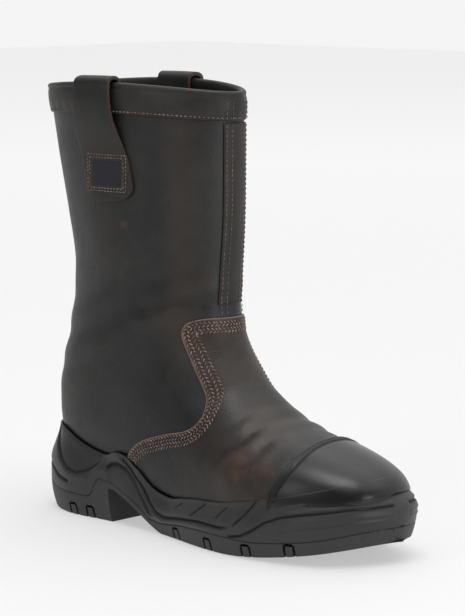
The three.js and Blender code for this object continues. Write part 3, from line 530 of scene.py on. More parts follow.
TAN_EDGE = fibrous("cut_leather_tan", "5f4a3a", "9a7f66", 1.5, 0.8, 0.0003)
RED_EDGE = fibrous("cut_leather_red_brown", "2a1f1b", "45322a", 1.5, 0.7, 0.0003)
LINING = fibrous("woven_lining", "1b1b1c", "2c2c2e", 1.6, 0.95, 0.0003)
FOOTBED = fibrous("footbed_textile", "202022", "34343a", 2.0, 0.95, 0.0004)
PATCH = fibrous("woven_patch", "15131b", "201d28", 1.4, 0.85, 0.0002)


def thread(name, dark, light):
    material, tree, skin, place = new_material(name)
    plies = add(tree, "ShaderNodeTexNoise", {"Vector": place, "Scale": per_mm(3.5), "Detail": 2.0})
    tree.links.new(two_colours(tree, plies.outputs["Fac"], colour(dark), colour(light), 0.4, 0.6),
                   skin.inputs["Base Color"])
    skin.inputs["Roughness"].default_value = 0.55
    skin.inputs["Sheen Weight"].default_value = 0.2
    return material


RUST_THREAD = thread("bonded_thread_rust", "583d31", "8f725f")
DULL_THREAD = thread("bonded_thread_dull", "4a342d", "735246")
print("thread and edge finishes ready")

# %% [markdown]
# ## Moulded rubber
# The sole and bumper are black nitrile rubber, pressed in a steel mould. The mould's faces were lightly
# etched, so the rubber is satin rather than glossy and has a fine pebble; handling leaves faint grey bloom.
# The tread's rubber is a little rougher, and the tip of the toe has a coarse spark-eroded patch.

# %% Rubber
def moulded_rubber(name, dark, bloom, roughness, pebble, depth):
    material, tree, skin, place = new_material(name)
    haze = add(tree, "ShaderNodeTexNoise", {"Vector": place, "Scale": per_mm(38), "Detail": 4.0,
                                            "Roughness": 0.6})
    # Painted shade: a number kept on the points darkens the colour towards near black in grooves and gaps, and makes
    # the rubber more matt there.
    recess_shade = add(tree, "ShaderNodeAttribute", attribute_name="recess_shade").outputs["Fac"]
    shaded = add(tree, "ShaderNodeMix", {0: recess_shade, 6: two_colours(
        tree, haze.outputs["Fac"], colour(dark), colour(bloom), 0.3, 0.75), 7: colour("060606")},
        data_type="RGBA")
    tree.links.new(shaded.outputs[2], skin.inputs["Base Color"])
    satin = add(tree, "ShaderNodeMapRange", {"Value": haze.outputs["Fac"], "From Min": 0.3, "From Max": 0.7,
                                             "To Min": roughness, "To Max": roughness + 0.12})
    matt = add(tree, "ShaderNodeMath", {0: recess_shade, 1: 0.45, 2: satin.outputs[0]}, operation="MULTIPLY_ADD")
    tree.links.new(matt.outputs[0], skin.inputs["Roughness"])
    etched = add(tree, "ShaderNodeTexNoise", {"Vector": place, "Scale": per_mm(pebble), "Detail": 3.0})
    coarse = add(tree, "ShaderNodeTexNoise", {"Vector": place, "Scale": per_mm(2.6), "Detail": 1.0})
    eroded = add(tree, "ShaderNodeAttribute", attribute_name="eroded").outputs["Fac"]
    fine = add(tree, "ShaderNodeBump", {"Height": etched.outputs["Fac"], "Strength": 0.4, "Distance": depth})
    patch = add(tree, "ShaderNodeBump", {"Height": coarse.outputs["Fac"], "Strength": eroded,
                                         "Distance": 0.0012, "Normal": fine.outputs[0]})
    tree.links.new(patch.outputs[0], skin.inputs["Normal"])
    skin.inputs["Specular IOR Level"].default_value = 0.38
    return material


SIDE_RUBBER = moulded_rubber("nitrile_rubber_side", "262627", "343435", 0.38, 1.2, 0.0002)
DOME_RUBBER = moulded_rubber("nitrile_rubber_bumper", "0f0f10", "181819", 0.27, 1.6, 0.00012)
TREAD_RUBBER = moulded_rubber("nitrile_rubber_tread", "2c2c2d", "3b3b3c", 0.5, 1.6, 0.0003)
print("rubber finishes ready")

# %% [markdown]
# ## The shaft and foot
# One hide panel wraps the leg and runs under the foot. On the real boot it is pulled down over the last and
# glued under the insole. Here it is one grid round and along the last, open at the collar, given its wall by
# a Solidify modifier whose inner side takes the lining's material.

# %% Upper
RUBS = [((98, 208), 6, 1.0), ((120, 212), 9, 0.45), ((40, 120), 16, 0.35), ((150, 120), 12, 0.3),
        ((216, 62), 22, 0.95), ((232, 56), 14, 1.0), ((186, 84), 18, 0.55)]
# Patches of painted shade, (x, z), reach, amount: they darken the low side of the vamp and a few places on the shaft.
PAINTED_SHADE_PATCHES = [((140, 52), 30, 0.85), ((112, 44), 18, 0.8), ((30, 250), 30, 0.35), ((96, 120), 30, 0.4)]


def wear(points, share):
    """Numbers kept on the leather: how far it is stretched, how much it is rubbed, and where painted shade darkens it.
    """
    x, y, z = np.moveaxis(points, -1, 0)
    height = relief(points, np.mod(share, 1.0))
    rub = np.full(x.shape, 0.25)
    for (at_x, at_z), reach, amount in RUBS:
        rub = np.maximum(rub, amount * np.exp(-((x - at_x) ** 2 + (z - at_z) ** 2) / reach**2))
    painted_shade = np.zeros(x.shape)
    for (at_x, at_z), reach, amount in PAINTED_SHADE_PATCHES:
        painted_shade = np.maximum(painted_shade, amount * np.exp(-((x - at_x) ** 2 + (z - at_z) ** 2) / reach**2))
    return {"stretch": np.clip(height * 0.3, 0, 0.5), "rub": rub, "painted_shade": painted_shade}


def upper_values(u, w):
    s = section_share(w)
    return wear(last_point(s, turn_at(s, u), 0.0), u)


bm = grid_mesh(168, 190, lambda u, w: form(section_share(w), u, 0.0), upper_values)
turn_outwards(bm, Vector(metres([110, 0, 120])))
upper = finished(bm, "upper_leather", ["upper"], [SHAFT_LEATHER, LINING])
thicken(upper, WALL, inner=1)

# %% [markdown]
# ## Panels clipped on the last
# The vamp, the front strip and the rubber bumper are panels with an edge of their own. Each is a finer grid on
# the same form. A function says how far a point is inside the panel's edge; faces that are wholly outside are
# deleted, and the outer corners of the rest slide over the form until they are exactly on the edge.

# %% Clip a panel
def edge_distance(x, z, line):
    """Signed distance from points to a drawn edge, positive on its right-hand side."""
    best = np.full(x.shape, 1e9)
    signed = np.zeros(x.shape)
    for (ax, az), (bx, bz) in zip(line, line[1:]):
        dx, dz = bx - ax, bz - az
        t = np.clip(((x - ax) * dx + (z - az) * dz) / (dx * dx + dz * dz), 0, 1)
        d = np.hypot(x - ax - t * dx, z - az - t * dz)
        side = np.sign(dz * (x - ax) - dx * (z - az))
        signed = np.where(d < best - 1e-9, side * d, signed)
        best = np.minimum(best, d)
    return signed


def drawn(rows, steps=90):
    """A smooth dense line through a few points."""
    rows = np.array(rows, float)
    run = np.concatenate([[0], np.cumsum(np.hypot(*np.diff(rows, axis=0).T))])
    at = np.linspace(0, run[-1], steps)
    return list(zip(follow(np.c_[run, rows[:, 0]], at), follow(np.c_[run, rows[:, 1]], at)))


def panel_mesh(across, along, around, lengthways, inside, lift, values=None):
    """Part of the form from one share to another, kept where inside(points) is positive.
    lift(points) is the panel's height over the form."""
    def shape(u, w, height):
        return form(section_share(w), u, height)

    bm = bmesh.new()
    bmesh.ops.create_grid(bm, x_segments=across, y_segments=along, size=0.5)
    shares = np.array([v.co for v in bm.verts])[:, :2] + 0.5
    u, w = mix(around[0], around[1], shares[:, 0]), mix(lengthways[0], lengthways[1], shares[:, 1])
    d = inside(shape(u, w, 0.0))
    for vertex, number in zip(bm.verts, d):
        vertex.tag = bool(number > 0)
    bmesh.ops.delete(bm, geom=[f for f in bm.faces if not any(v.tag for v in f.verts)], context="FACES_ONLY")
    bmesh.ops.delete(bm, geom=[v for v in bm.verts if not v.link_faces], context="VERTS")
    bm.verts.index_update()
    shares = np.array([v.co for v in bm.verts])[:, :2] + 0.5
    u, w = mix(around[0], around[1], shares[:, 0]), mix(lengthways[0], lengthways[1], shares[:, 1])
    outside = inside(shape(u, w, 0.0)) < 0
    step = 1e-3
    for _ in range(5):
        here = shape(u[outside], w[outside], 0.0)
        d = inside(here)
        by_u, by_w = shape(u[outside] + step, w[outside], 0.0), shape(u[outside], w[outside] + step, 0.0)
        long_u = np.linalg.norm(by_u - here, axis=1) + 1e-9
        long_w = np.linalg.norm(by_w - here, axis=1) + 1e-9
        slope_u, slope_w = (inside(by_u) - d) / long_u, (inside(by_w) - d) / long_w
        size = np.maximum(slope_u**2 + slope_w**2, 0.05)
        u[outside] -= d * slope_u / size / long_u * step
        w[outside] -= d * slope_w / size / long_w * step
    flat = shape(u, w, 0.0)
    for vertex, point in zip(bm.verts, metres(shape(u, w, lift(flat)))):
        vertex.co = point
    if values:
        for key, numbers in values(u, w, flat).items():
            layer = bm.verts.layers.float.new(key)
            for vertex, number in zip(bm.verts, numbers):
                vertex[layer] = number
    bmesh.ops.remove_doubles(bm, verts=bm.verts, dist=2e-6)
    bm.normal_update()
    turn_outwards(bm, Vector(metres([150, 0, 60])))
    return bm


# %% [markdown]
# ## The vamp
# The vamp covers the front of the foot. Its rear edge climbs from the sole in an S, turns round the instep
# and crosses the front as a level line. It lies over the shaft's leather, and its raw edge shows tan.

# %% Vamp
VAMP_EDGE = drawn([(share * FOOT_LENGTH, up * THROAT_HEIGHT) for share, up in [
    (0.320, 0.200), (0.330, 0.285), (0.337, 0.316), (0.354, 0.354), (0.383, 0.392), (0.430, 0.424),
    (0.476, 0.449), (0.522, 0.468), (0.552, 0.500), (0.565, 0.544), (0.562, 0.589), (0.542, 0.652),
    (0.519, 0.709), (0.496, 0.772), (0.476, 0.829), (0.469, 0.873), (0.476, 0.905), (0.496, 0.924),
    (0.519, 0.930), (0.560, 0.930), (0.640, 0.930)]], 110)
VAMP_FACE = CLEARANCE + 1.6


def inside_vamp(points):
    x, y, z = np.moveaxis(points, -1, 0)
    return np.minimum(edge_distance(x, z, VAMP_EDGE), z - seat_height(x) - 3)


def vamp_values(u, w, points):
    s = section_share(w)
    raw = 0.85 * np.exp(-(np.maximum(inside_vamp(points), 0) / 0.7) ** 2) * (points[:, 2] > seat_height(points[:, 0]) + 14)
    return {**wear(last_point(s, turn_at(s, u), 0.0), u), "raw": raw}


bm = panel_mesh(180, 170, (-0.45, 0.45), (0.0, 0.66), inside_vamp,
                lambda points: VAMP_FACE - 0.5 * np.exp(-np.maximum(inside_vamp(points), 0) / 0.8), vamp_values)
vamp = finished(bm, "vamp_leather", ["vamp"], [VAMP_LEATHER, TAN_EDGE])
thicken(vamp, 1.3, rim=1)

# %% [markdown]
# ## The sole's plan
# The sole is moulded, so its walls follow one closed outline seen from above. The outline below is a curve
# through seventeen points. It starts at the back of the heel and goes round by the outer side. Marks on the
# side walls are drawn as lines of x and z, so a table of lengths turns their x into a way along the wall.

# %% Outline of the sole
PLAN = np.array([
    (0.000, 0.000), (0.026, -0.225), (0.116, -0.356), (0.258, -0.360), (0.394, -0.378), (0.639, -0.514),
    (0.800, -0.484), (0.926, -0.336), (1.000, 0.036), (0.968, 0.288), (0.858, 0.441), (0.716, 0.486),
    (0.532, 0.396), (0.387, 0.324), (0.252, 0.333), (0.116, 0.338), (0.026, 0.216),
]) * [SOLE_LENGTH, SOLE_WIDTH]


def plan_curve(t):
    """Point of the outline at t, a smooth curve whose knots follow the root of the distances."""
    count = len(PLAN)
    p = np.mod(t, 1.0) * count
    i = np.floor(p).astype(int)
    w = (p - i)[..., None]
    before, here, after, last = (PLAN[(i + k) % count] for k in (-1, 0, 1, 2))
    d0, d1, d2 = (np.sqrt(np.linalg.norm(b - a, axis=-1))[..., None]
                  for a, b in ((before, here), (here, after), (after, last)))
    leave = ((here - before) / d0 - (after - before) / (d0 + d1) + (after - here) / d1) * d1
    arrive = ((after - here) / d1 - (last - here) / (d1 + d2) + (last - after) / d2) * d1
    return (here + leave * w + (3 * (after - here) - 2 * leave - arrive) * w**2
            + (2 * (here - after) + leave + arrive) * w**3)


def plan_table():
    fine = np.linspace(0, 1, 3401)
    heel_turn = (fine + 0.5)[np.argmin(plan_curve(fine + 0.5)[:, 0])]
    turns = heel_turn + fine
    return turns, plan_curve(turns)


PLAN_TURNS, PLAN_POINTS = plan_table()
PLAN_WAY = np.concatenate([[0], np.cumsum(np.linalg.norm(np.diff(PLAN_POINTS, axis=0), axis=1))])
TOE_AT = int(np.argmax(PLAN_POINTS[:, 0]))
TOE_WAY, ROUND_WAY = PLAN_WAY[TOE_AT], PLAN_WAY[-1]
print("outline is %.0f mm round, %.0f mm of it on the outer side" % (ROUND_WAY, TOE_WAY))


def plan_at(way):
    """Point and outward direction of the outline, some way round from the back of the heel."""
    at = np.stack([np.interp(way, PLAN_WAY, PLAN_POINTS[:, k]) for k in (0, 1)], -1)
    turn = np.interp(way, PLAN_WAY, PLAN_TURNS)
    ahead = plan_curve(turn + 1e-4) - plan_curve(turn - 1e-4)
    ahead = ahead / np.linalg.norm(ahead, axis=-1)[..., None]
    return at, np.stack([ahead[..., 1], -ahead[..., 0]], -1)


def way_at(x, inner=False):
    """Way round to where the outer or the inner wall is at x."""
    if inner:
        return np.interp(-np.asarray(x, float), -PLAN_POINTS[TOE_AT:, 0], PLAN_WAY[TOE_AT:])
    return np.interp(x, PLAN_POINTS[:TOE_AT + 1, 0], PLAN_WAY[:TOE_AT + 1])


# %% Height lines and the wall of the sole
CUP_EDGE = [
    (0.000, 1.62), (0.039, 1.60), (0.077, 1.59), (0.103, 1.54), (0.129, 1.45), (0.166, 1.35), (0.201, 1.31),
    (0.231, 1.32), (0.252, 1.37), (0.282, 1.54), (0.302, 1.61), (0.323, 1.66), (0.347, 1.61), (0.370, 1.55),
    (0.397, 1.35), (0.419, 1.28), (0.455, 1.30), (0.510, 1.50), (0.565, 1.69), (0.642, 1.83), (0.703, 2.00),
    (0.758, 2.17), (0.794, 2.34), (0.855, 2.42), (0.935, 2.48), (1.000, 2.53)]
SPLIT = [
    (0.000, 0.55), (0.045, 0.53), (0.090, 0.46), (0.145, 0.44), (0.190, 0.43), (0.206, 0.48), (0.219, 0.71),
    (0.235, 0.86), (0.255, 0.87), (0.287, 0.84), (0.332, 0.72), (0.368, 0.56), (0.397, 0.38), (0.429, 0.38),
    (0.468, 0.46), (0.526, 0.62), (0.613, 0.72), (0.671, 0.70), (0.735, 0.67), (0.806, 0.75), (0.887, 0.86),
    (0.968, 1.06), (1.000, 1.13)]
TOE_SPRING, SPRING_FROM, SOLE_TUCK, TUCK_HEIGHT = 15.0, 0.66, 4.0, 22.0


def side_height(rows, x):
    return follow(rows, x / SOLE_LENGTH) * seat_height(x)


def base_height(x):
    return TOE_SPRING * np.maximum(0, (x / SOLE_LENGTH - SPRING_FROM) / (1 - SPRING_FROM)) ** 1.6


def form_tree(offset):
    """The last as a closed skin that rays can hit, in millimetres."""
    bm = grid_mesh(120, 150, lambda u, w: last_point(section_share(w), turn_at(section_share(w), u), offset))
    for vertex in bm.verts:
        vertex.co = Vector(1000 * np.array(vertex.co) - ORIGIN)
    tree = BVHTree.FromBMesh(bm)
    bm.free()
    return tree


SKINS = {offset: form_tree(offset) for offset in (0.35, 2.5, 3.9)}


def inset_to(offset, way, z):
    """How far inside the outline the leather's form is met, from outside and at height z."""
    at, out = plan_at(way)
    found = np.zeros(len(way))
    for k, (point, direction, height) in enumerate(zip(at, out, z)):
        start = Vector((*(point + 40 * direction), height))
        hit = SKINS[offset].ray_cast(start, Vector((*(-direction), 0)))
        found[k] = hit[3] - 40 if hit[3] is not None else 0
    return found


def inset_at_edge(way):
    x = plan_at(way)[0][:, 0]
    edge = side_height(CUP_EDGE, x)
    return mix(inset_to(2.5, way, edge), inset_to(3.9, way, edge), smooth((x / SOLE_LENGTH - 0.27) / 0.1))


def wall_point(way, z, edge_inset, proud=0.0):
    """Point of the sole's wall at height z, proud of it by some millimetres."""
    at, out = plan_at(way)
    x = at[..., 0]
    tuck = SOLE_TUCK * np.maximum(0, 1 - (z - base_height(x)) / TUCK_HEIGHT) ** 2
    low, edge = side_height(SPLIT, x), side_height(CUP_EDGE, x)
    lean = smooth(((z - low) / (edge - low) - 0.35) / 0.65)
    reach = proud - mix(tuck, edge_inset, lean)
    return np.concatenate([at + out * reach[..., None], z[..., None]], -1)


# %% Stations round the sole
BREAST, ARCH_END = 0.2645 * SOLE_LENGTH, 0.428 * SOLE_LENGTH
outer_x = plan_at(np.arange(1.2, TOE_WAY - 0.6, 1.2))[0][:, 0]
outer_x = outer_x[np.abs(outer_x - BREAST) > 0.7]
STATIONS = np.sort(np.concatenate([outer_x, [BREAST - 0.06, BREAST + 0.06]]))
RING = np.concatenate([[0], way_at(STATIONS), [TOE_WAY], way_at(STATIONS[::-1], inner=True)])
RING_X = np.concatenate([[PLAN_POINTS[0, 0]], STATIONS, [PLAN_POINTS[TOE_AT, 0]], STATIONS[::-1]])
RING_INSET = inset_at_edge(RING)


def ring_mesh(points):
    """A closed band of faces from a table of points, one row per height and one column per station."""
    rows, stations = points.shape[:2]
    places = metres(points)
    bm = bmesh.new()
    bmesh.ops.create_grid(bm, x_segments=stations, y_segments=rows - 1, size=0.5)
    for vertex in bm.verts:
        column = round((vertex.co.x + 0.5) * stations) % stations
        vertex.co = places[round((vertex.co.y + 0.5) * (rows - 1)), column]
    return bm


print(len(RING), "stations round the sole")

# %% [markdown]
# ## Marks moulded into the side
# The mould cut raised ribs, fine grooves and shallow pockets into the wall. Each is a line with a height or a
# depth and a half width. The wall's points move in or out by the sum of them, and how deep a point lies is
# kept on it, so that the rubber's colour can be darkened there as painted shade.

# %% Ribs, grooves and pockets
LENS = [(10, 63), (14, 57.5), (20, 49.5), (31, 38), (39.5, 32.4), (49.3, 30.8), (58.8, 33.2), (67, 38), (76, 44.4)]
CREST = [(80, 38.6), (84.3, 41.2), (91.3, 42.4), (98.7, 40.7), (105.3, 36.4), (113.3, 26.9), (120.2, 17),
         (127.3, 9.8)]
BAND_TOP = [(98, 47), (106, 42), (117, 31), (124, 20.8), (132, 15.2), (142, 13.4), (162.6, 16.4), (184, 18.6),
            (206, 18.2), (218, 21.0)]
TOE_LOW = [(214, 13.5), (224, 15.5), (234, 20.5), (243, 26.5), (254, 31), (265, 33.4), (279, 35.6), (295, 38.4),
           (309, 39.4)]
SIDE_GROOVES = [
    (LENS, 1.2, 1.3), ([(4, 36), (14, 32), (22, 28.6), (28, 25.8), (36, 24.2), (44, 23.2)], 1.1, 1.2),
    (CREST, 1.8, 1.5), (BAND_TOP, 1.1, 1.1), (TOE_LOW, 0.9, 1.0),
    ([(102, 41.5), (110, 34), (118, 22.5), (124.5, 14.5), (131, 10.8)], 0.7, 0.7),
    ([(160.6, 26.3), (153.8, 22.2)], 0.6, 0.7), ([(185.9, 30.1), (174.1, 20.2)], 0.8, 0.7),
    ([(210.3, 32.2), (200.5, 23.3)], 0.7, 0.7), ([(236.5, 41), (233.0, 36.6), (224.8, 27.6), (216, 20.1)], 0.9, 0.8),
    ([(246, 40.4), (265, 44.4), (290, 50), (309, 53.8)], 0.5, 0.9),
]
SIDE_RIBS = [
    ([(86, 45.4), (93, 46.2), (101, 43.6), (108, 38.2), (115.5, 28.5), (122, 18.4), (129, 12.4), (140, 10.2),
      (163, 13.8), (184, 15.8), (206, 15.4)], 0.8, 2.0),
    ([(239.5, 41), (236, 36), (228, 27), (220, 20)], 0.6, 1.2),
    ([(246, 42.6), (265, 46.6), (290, 52.2), (309, 56)], 0.7, 1.0),
    ([(252, 36.8), (272, 41.8), (290, 45.4), (309, 48.2)], 0.6, 0.8),
    ([(256, 33.2), (276, 37.4), (295, 40.4), (309, 41.6)], 0.6, 0.8),
    ([(258, 26.4), (276, 31.2), (295, 33.8), (309, 34.2)], 0.6, 0.8),
    ([(250, 19.4), (272, 24.4), (295, 29.2), (309, 31.4)], 0.6, 0.8),
]


def beside(x, z, line, inner):
    """Distance to a line drawn on the wall, how far along it, and on which side of it."""
    way = way_at([p[0] for p in line], inner)
    along = ROUND_WAY - way if inner else way
    here = ROUND_WAY - x if inner else x
    bent = list(zip(along, [p[1] for p in line]))
    d, place = line_distance(here, z, bent)
    return d, place, edge_distance(here, z, bent)


def side_marks(way, z, inner):
    """Height of the moulded marks, and how much painted shade the rubber's colour takes there."""
    height, recess_shade = np.zeros(z.shape), np.zeros(z.shape)
    x = plan_at(way)[0][..., 0]
    for line, depth, width in SIDE_GROOVES:
        d, place, _ = beside(way, z, line, inner)
        ends = smooth((1 - place) * 8) if line[-1][0] < 300 else 1.0
        cut = np.exp(-(d / width) ** 2) * ends
        height -= depth * cut
        recess_shade = np.maximum(recess_shade, cut * min(1, depth / 0.8))
    for line, rise, width in SIDE_RIBS:
        d, place, _ = beside(way, z, line, inner)
        ends = smooth(place * 8) * (smooth((1 - place) * 8) if line[-1][0] < 300 else 1.0)
        height += rise * np.exp(-(d / width) ** 2) * ends
    _, place, above = beside(way, z, LENS, inner)
    pocket = smooth(-above / 2.2) * smooth((78 - x) / 8)
    _, _, over = beside(way, z, CREST, inner)
    under = smooth(over / 1.6) * np.exp(-(np.maximum(over, 0) / 9) ** 2) * smooth((x - 79) / 5) * smooth((126 - x) / 16)
    edge = side_height(CUP_EDGE, x)
    near_edge = np.exp(-((edge - z) / 3.0) ** 2)
    height -= 1.1 * pocket + 0.9 * under
    # Painted shade in the grooves, in the pocket near the leather's edge and under the crest.
    return height, np.clip(np.maximum(recess_shade, 0.55 * pocket * near_edge + 0.25 * under), 0, 1)


def keep_numbers(bm, name, table, rows, stations):
    """Numbers of a ring kept on its points, found again by their order in the grid."""
    layer = bm.verts.layers.float.new(name)
    for vertex, number in zip(bm.verts, table):
        vertex[layer] = number


# %% Side of the sole
SIDE_ROWS = 46


def side_table():
    low, edge = side_height(SPLIT, RING_X) + CLEARANCE, side_height(CUP_EDGE, RING_X)
    inner = np.arange(len(RING)) > len(STATIONS) + 1
    rows, recess_shades = [], []
    for share in np.linspace(0, 1, SIDE_ROWS):
        z = mix(low, edge, share)
        out_height, out_recess_shade = side_marks(RING, z, False)
        in_height, in_recess_shade = side_marks(RING, z, True)
        lip = 1 - 0.55 * smooth((share - 0.955) / 0.045)
        proud = np.where(inner, in_height, out_height) * lip * smooth((z - low) / 1.2 + 0.2)
        rows.append(wall_point(RING, z, RING_INSET, proud))
        recess_shades.append(np.where(inner, in_recess_shade, out_recess_shade))
    at, out = plan_at(RING)
    for rise, inward in ((0.55, 0.5), (0.65, 1.2), (0.1, 2.0)):
        rows.append(np.c_[at - out * (RING_INSET + inward)[:, None], edge + rise])
        recess_shades.append(np.zeros(len(RING)))
    # The rows inside the cup, under the leather, take full painted shade.
    for drop in (2.5, 6.0):
        z = edge - drop
        inset = np.maximum(inset_to(0.35, RING, z), RING_INSET + 1.6)
        rows.append(np.c_[at - out * inset[:, None], z])
        recess_shades.append(np.ones(len(RING)))
    rows.append(np.c_[at - out * 9.0, low + 0.5])
    recess_shades.append(np.ones(len(RING)))
    rows.append(rows[0])
    recess_shades.append(recess_shades[0])
    return np.array(rows), np.array(recess_shades)


def ring_numbers(bm, name, table):
    """Numbers for each row and station, kept on the matching points of a fresh ring."""
    rows, stations = table.shape
    layer = bm.verts.layers.float.new(name)
    count = stations + 1
    for k, vertex in enumerate(bm.verts):
        vertex[layer] = table[k // count, (k % count) % stations]


side_points, side_recess_shades = side_table()
bm = ring_mesh(side_points)
ring_numbers(bm, "recess_shade", side_recess_shades)
bmesh.ops.remove_doubles(bm, verts=bm.verts, dist=2e-6)
bm.normal_update()
turn_outwards(bm, Vector(metres([150, 0, 30])))
sole_side = finished(bm, "sole_side", ["midsole"], [SIDE_RUBBER])

# %% [markdown]
# ## The toe bumper
# The same rubber flows up over the toe cap. Its rear edge has two small beads with a groove between them,
# where two halves of the mould met. The panel function cuts the form ahead of that edge and down to the sole's
# top line; the beads come from the distance to the edge.

# %% Bumper
BUMPER_EDGE = drawn([(share * FOOT_LENGTH, up * THROAT_HEIGHT) for share, up in [
    (0.778, 0.180), (0.788, 0.300), (0.800, 0.345), (0.810, 0.385), (0.815, 0.430), (0.815, 0.600)]], 40)
BUMPER_FACE, BUMPER_PIVOT, BUMPER_TURN = 4.0, 0.815 * FOOT_LENGTH, math.radians(7)


def inside_bumper(points):
    x, y, z = np.moveaxis(points, -1, 0)
    square = BUMPER_PIVOT + (x - BUMPER_PIVOT) * math.cos(BUMPER_TURN) + y * math.sin(BUMPER_TURN)
    return np.minimum(edge_distance(square, z, BUMPER_EDGE), z - side_height(CUP_EDGE, x) + 9)


def behind_edge(points):
    """Distance ahead of the bumper's rear edge alone."""
    x, y, z = np.moveaxis(points, -1, 0)
    square = BUMPER_PIVOT + (x - BUMPER_PIVOT) * math.cos(BUMPER_TURN) + y * math.sin(BUMPER_TURN)
    return np.maximum(edge_distance(square, z, BUMPER_EDGE), 0)


def bead(points):
    d = behind_edge(points)
    return (BUMPER_FACE + 0.75 * smooth((4.3 - d) / 0.9) - 0.75 * np.exp(-((d - 2.3) / 0.5) ** 2)
            - 0.6 * np.exp(-((d - 4.7) / 0.7) ** 2) - 1.4 * np.exp(-d / 0.45))


def bumper_values(u, w, points):
    d = behind_edge(points)
    # Painted shade in the grooves between the beads and in the gap along the rear edge.
    recess_shade = np.exp(-((d - 2.3) / 0.5) ** 2) + np.exp(-((d - 4.7) / 0.7) ** 2) + np.exp(-d / 0.4)
    return {"recess_shade": np.clip(recess_shade, 0, 1), "eroded": np.zeros(len(u))}


bm = panel_mesh(230, 150, (-0.42, 0.42), (0.0, 0.24), inside_bumper, bead, bumper_values)
toe_bumper = finished(bm, "toe_bumper", ["midsole"], [DOME_RUBBER])
thicken(toe_bumper, 1.6)

# %% [markdown]
# ## The tread
# Under the side wall lies the tread, moulded in a harder rubber. It is closed: a middle line on the floor,
# the wall's rows, and a middle line on top. Behind the arch the heel has an upright front face, made by two
# stations a hair apart. Slots between the lugs are cut out with a Boolean; on the wall each slot ends in a
# small block with a dark gap round it.

# %% Tread body
def face_outwards(bm):
    """Turns a closed mesh's faces outwards: its volume is negative when they look inwards."""
    if bm.calc_volume(signed=True) < 0:
        bmesh.ops.reverse_faces(bm, faces=bm.faces)


ARCH = [(0.266, 0.72), (0.280, 0.74), (0.306, 0.69), (0.332, 0.58), (0.368, 0.39), (0.394, 0.20), (0.413, 0.07)]
WAIST_WEB, TREAD_DEPTH, TREAD_ROWS = 4.0, 6.0, 16


def under_height(x):
    """Underside of the tread: the floor, or the arch behind the ball of the foot."""
    share = x / SOLE_LENGTH
    arch = np.interp(share, [p[0] for p in ARCH] + [ARCH_END / SOLE_LENGTH], [p[1] for p in ARCH] + [0.0])
    lifted = np.minimum(arch * seat_height(x), side_height(SPLIT, x) - WAIST_WEB)
    return np.where((x > BREAST) & (x < ARCH_END), np.maximum(lifted, 0), base_height(x))


def tread_table():
    low, high = under_height(RING_X), side_height(SPLIT, RING_X)
    middle_y = np.interp(RING_X, STATIONS, (plan_at(way_at(STATIONS))[0][:, 1]
                                            + plan_at(way_at(STATIONS, True))[0][:, 1]) / 2)
    ends = (RING_X <= STATIONS[0] - 1e-6) | (RING_X >= STATIONS[-1] + 1e-6)
    middle_y = np.where(ends, wall_point(RING, low, RING_INSET)[:, 1], middle_y)
    middle_x = np.where(ends, wall_point(RING, low, RING_INSET)[:, 0], RING_X)
    rows = [np.c_[middle_x, middle_y, low]]
    for share in np.linspace(0, 1, TREAD_ROWS):
        z = mix(low, high, share)
        marks = -0.5 * smooth((share - 0.93) / 0.07) - 0.35 * smooth(1 - share / 0.06)
        rows.append(wall_point(RING, z, RING_INSET, np.full(len(RING), marks)))
    rows.append(np.c_[middle_x, middle_y, high])
    return np.array(rows)


def eroded_table(points):
    x, y, z = np.moveaxis(points, -1, 0)
    return smooth((x - 288) / 12) * smooth((30 - z) / 6) * smooth((6 - y) / 10)


tread_points = tread_table()
bm = ring_mesh(tread_points)
ring_numbers(bm, "eroded", eroded_table(tread_points))
bmesh.ops.remove_doubles(bm, verts=bm.verts, dist=2e-6)
bmesh.ops.dissolve_degenerate(bm, edges=bm.edges, dist=1e-6)
bm.normal_update()
face_outwards(bm)
open_edges = sum(1 for e in bm.edges if len(e.link_faces) != 2)
print("tread body: %d faces, %d open edges" % (len(bm.faces), open_edges))

# %% Slots, channels and the gaps round the side blocks
SLOT_AT = [0.145, 0.200, 0.497, 0.616, 0.732, 0.839, 0.925]
CHANNELS = [(0.47, 0.90, -0.17), (0.47, 0.90, 0.15), (0.04, 0.23, -0.02)]


def pushed(bm, face_points, move):
    """A prism: one face through the points, pushed out by move, with its faces looking outwards."""
    face = bm.faces.new([bm.verts.new(metres(p)) for p in face_points])
    face.normal_update()
    if face.normal.dot(Vector(move)) > 0:
        face.normal_flip()
    made = bmesh.ops.extrude_face_region(bm, geom=[face], use_keep_orig=True)["geom"]
    bmesh.ops.translate(bm, verts=[v for v in made if isinstance(v, bmesh.types.BMVert)],
                        vec=Vector(np.asarray(move) / 1000))
    bmesh.ops.recalc_face_normals(bm, faces=[f for f in bm.faces if f.is_valid][-(len(face_points) + 2):])


def slot_prisms():
    bm = bmesh.new()
    for along in SLOT_AT:
        x = along * SOLE_LENGTH
        outer, inner = plan_at(way_at([x]))[0][0, 1], plan_at(way_at([x], True))[0][0, 1]
        floor = float(base_height(np.array(x)))
        near, far = outer + 9.5, inner - 9.5
        pushed(bm, [(x - 3.0, near, -8), (x + 3.0, near, -8), (x + 2.2, near, floor + TREAD_DEPTH),
                    (x - 2.2, near, floor + TREAD_DEPTH)], (0, far - near, 0))
    return bm


def channel_prisms():
    bm = bmesh.new()
    for start, stop, across in CHANNELS:
        xs = np.linspace(start, stop, 11) * SOLE_LENGTH
        tops = base_height(xs) + TREAD_DEPTH * 0.8
        y = -across * SOLE_WIDTH - 2.6
        outline = [(xs[0], y, -8), (xs[-1], y, -8)] + [(x, y, top) for x, top in zip(xs[::-1], tops[::-1])]
        pushed(bm, outline, (0, 5.2, 0))
    return bm


